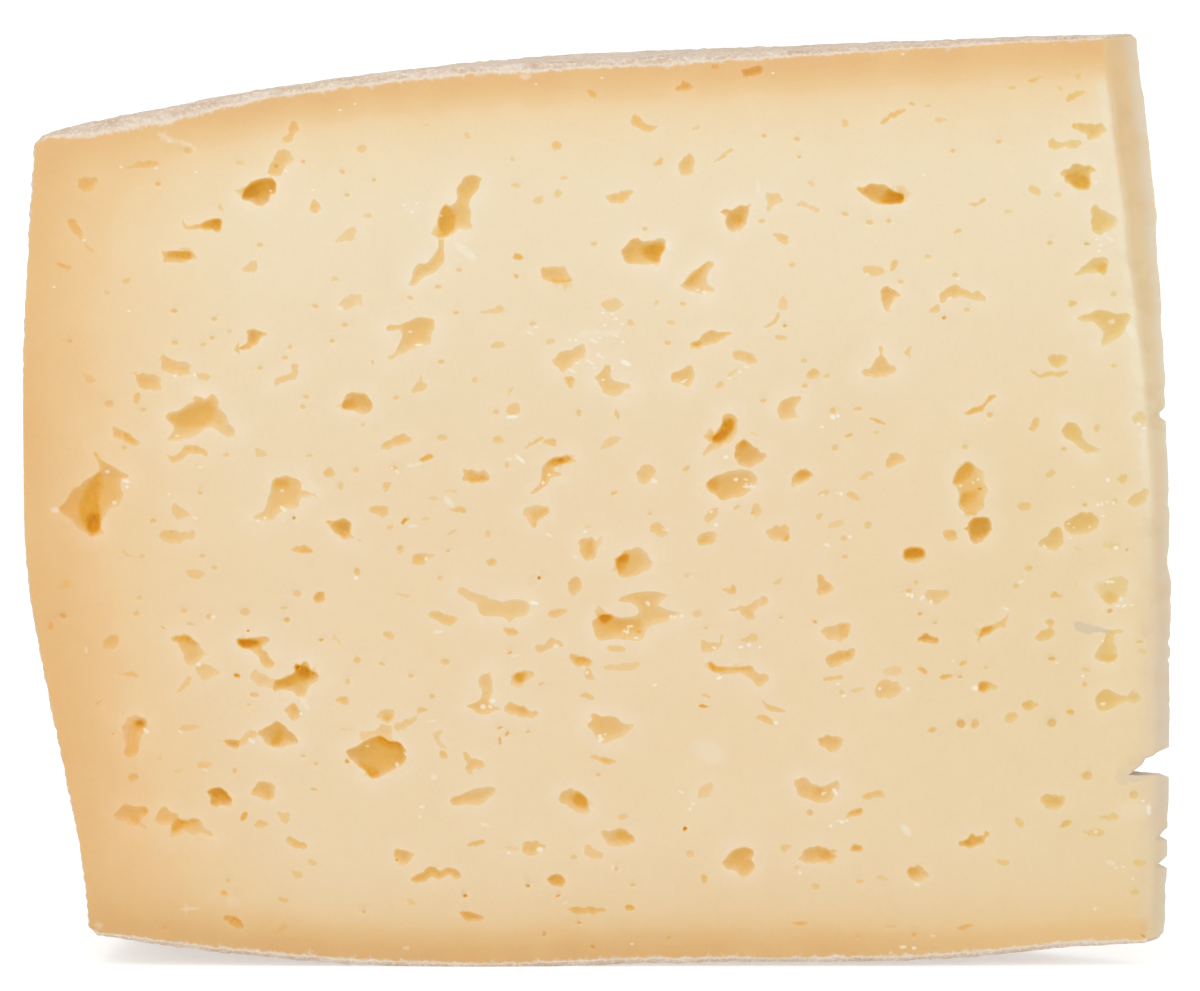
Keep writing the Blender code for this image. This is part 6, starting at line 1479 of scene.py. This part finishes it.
    shader = n.new("ShaderNodeBsdfPrincipled")
    n.put(n.mix(1.0, colour, LIGHTNESS, "MULTIPLY"), shader.inputs["Base Color"])
    rough = n.math("ADD", 0.46, n.math("MULTIPLY", fine, 0.16))
    rough = n.math("SUBTRACT", rough, n.math("MULTIPLY", eye_shade, 0.14))
    n.put(n.math("ADD", rough, n.math("MULTIPLY", rind, 0.22), clamp=True), shader.inputs["Roughness"])
    shader.inputs["IOR"].default_value = 1.42
    shader.inputs["Specular IOR Level"].default_value = 0.38
    shader.subsurface_method = "BURLEY"
    shader.inputs["Subsurface Weight"].default_value = 0.55
    shader.inputs["Subsurface Radius"].default_value = (1.0, 0.6, 0.3)
    shader.inputs["Subsurface Scale"].default_value = 0.0011

    # relief too fine for the mesh: grain and knife marks on the cuts, cloth on the rind
    cloth = n.math("MULTIPLY", n.math("MULTIPLY", along, over), 0.11)
    cloth = n.math("ADD", cloth, n.math("MULTIPLY", threads, -0.07))
    cloth = n.math("ADD", cloth, n.math("MULTIPLY", spots, 0.5))
    cloth = n.math("MULTIPLY", cloth, n.span(rind, 0.35, 0.9))
    knife = n.noise(n.scaled(where, 0.12, 0.12, 1.6), 0.9, 1.0)
    grain = n.math("ADD", n.math("MULTIPLY", fine, 0.07), n.math("MULTIPLY", crumb, 0.035))
    grain = n.math("ADD", grain, n.math("MULTIPLY", knife, 0.03))
    relief = n.math("ADD", grain, n.math("MULTIPLY", n.math("MULTIPLY", fine, eye_shade), 0.25))
    bump = n.new("ShaderNodeBump")
    bump.inputs["Strength"].default_value = 0.7
    bump.inputs["Distance"].default_value = 0.001
    n.put(n.math("ADD", relief, cloth), bump.inputs["Height"])
    n.put(bump.outputs["Normal"], shader.inputs["Normal"])

    out = n.new("ShaderNodeOutputMaterial")
    n.put(shader.outputs["BSDF"], out.inputs["Surface"])
    return material


LIGHTNESS = (0.772, 0.797, 0.785, 1)
# painted shade towards the bottom of the cut
LOWER_SHADE = (0.975, 0.91, 0.84, 1)
# painted shade along the bottom
BOTTOM_SHADE = (0.91, 0.94, 0.93, 1)
PASTE = [(0.0, (240, 219, 187)), (0.12, (240, 216, 180)), (0.25, (240, 212, 171)), (0.35, (240, 209, 165)),
         (0.47, (239, 202, 153)), (0.6, (236, 197, 144)), (0.85, (234, 190, 133)), (1.0, (232, 185, 128))]
# colours of the painted shade in the eyes, from shallow to deep
EYE_SHADE_COLOURS = [(0.0, (240, 214, 172)), (0.15, (238, 205, 154)), (0.25, (238, 201, 143)), (0.33, (238, 197, 133)),
        (0.42, (237, 193, 123)), (0.5, (236, 189, 113)), (0.58, (235, 184, 100)), (0.66, (235, 179, 83)),
        (0.76, (235, 173, 58)), (0.88, (232, 164, 32)), (1.0, (227, 150, 4))]
# painted shade on the thin edge's facet, by height; greyish where it is thin, painted for light passing through
TIP_FACET_SHADE = [(0.0, (226, 201, 163)), (0.1, (223, 200, 175)), (0.4, (223, 199, 169)), (0.65, (226, 202, 164)),
       (0.85, (226, 198, 157)), (1.0, (226, 191, 144))]
RIND = [(0.25, (235, 220, 205)), (0.42, (229, 209, 193)), (0.52, (222, 196, 175)), (0.68, (211, 182, 158))]

piece = bpy.data.objects.new("cheese", mesh)
bpy.context.scene.collection.objects.link(piece)
mesh.materials.append(cheese_material())
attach(piece, "root")
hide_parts("cheese_wedge")

# ---- the stage: a plain pale floor and soft light from all round, strongest above and in front ----

def floor_material():
    material = bpy.data.materials.new("floor")
    material.use_nodes = True
    n = Nodes(material.node_tree)
    shader = material.node_tree.nodes["Principled BSDF"]
    where = n.new("ShaderNodeTexCoord").outputs["Object"]
    n.put(n.ramp(n.noise(where, 3.0, 4.0), [(0.3, (206, 206, 206)), (0.7, (209, 209, 209))]), shader.inputs["Base Color"])
    n.put(n.span(n.noise(where, 40.0, 3.0), 0.3, 0.7, 0.75, 0.9), shader.inputs["Roughness"])
    shader.inputs["Specular IOR Level"].default_value = 0.2
    shader.inputs["Emission Color"].default_value = (1.0, 1.0, 1.0, 1)
    shader.inputs["Emission Strength"].default_value = 0.45
    return material


floor_mesh = bpy.data.meshes.new("floor")
floor_mesh.from_pydata([(-14, -6, 0), (14, -6, 0), (14, 22, 0), (-14, 22, 0)], [], [(0, 1, 2, 3)])
floor = bpy.data.objects.new("floor", floor_mesh)
bpy.context.scene.collection.objects.link(floor)
floor_mesh.materials.append(floor_material())


def area_light(name, place, aim, size, power):
    lamp = bpy.data.lights.new(name, "AREA")
    lamp.shape, lamp.size, lamp.size_y, lamp.energy = "RECTANGLE", size[0], size[1], power
    item = bpy.data.objects.new(name, lamp)
    item.location = place
    item.rotation_euler = (Vector(aim) - Vector(place)).to_track_quat("-Z", "Y").to_euler()
    bpy.context.scene.collection.objects.link(item)
    return item


area_light("above", (-0.35, -0.55, 1.15), (0.0, 0.0, 0.06), (1.1, 0.8), 4.5)
area_light("front", (0.3, -1.5, 0.75), (0.0, 0.0, 0.07), (1.4, 0.9), 2.0)

world = bpy.data.worlds.new("studio")
world.use_nodes = True
world.node_tree.nodes["Background"].inputs["Color"].default_value = (1.0, 1.0, 1.0, 1)
world.node_tree.nodes["Background"].inputs["Strength"].default_value = 1.0
bpy.context.scene.world = world
bpy.context.scene.view_settings.view_transform = "Standard"
bpy.context.scene.view_settings.look = "None"

camera_data = bpy.data.cameras.new("camera")
camera_data.sensor_width = 36.0
camera_data.lens = PIXELS * 36.0 / FRAME_W
camera_data.clip_start, camera_data.clip_end = 0.05, 60.0
camera = bpy.data.objects.new("camera", camera_data)
camera.location = EYE * MM
camera.rotation_euler = CAMERA_TURN.to_euler()
bpy.context.scene.collection.objects.link(camera)
bpy.context.scene.camera = camera
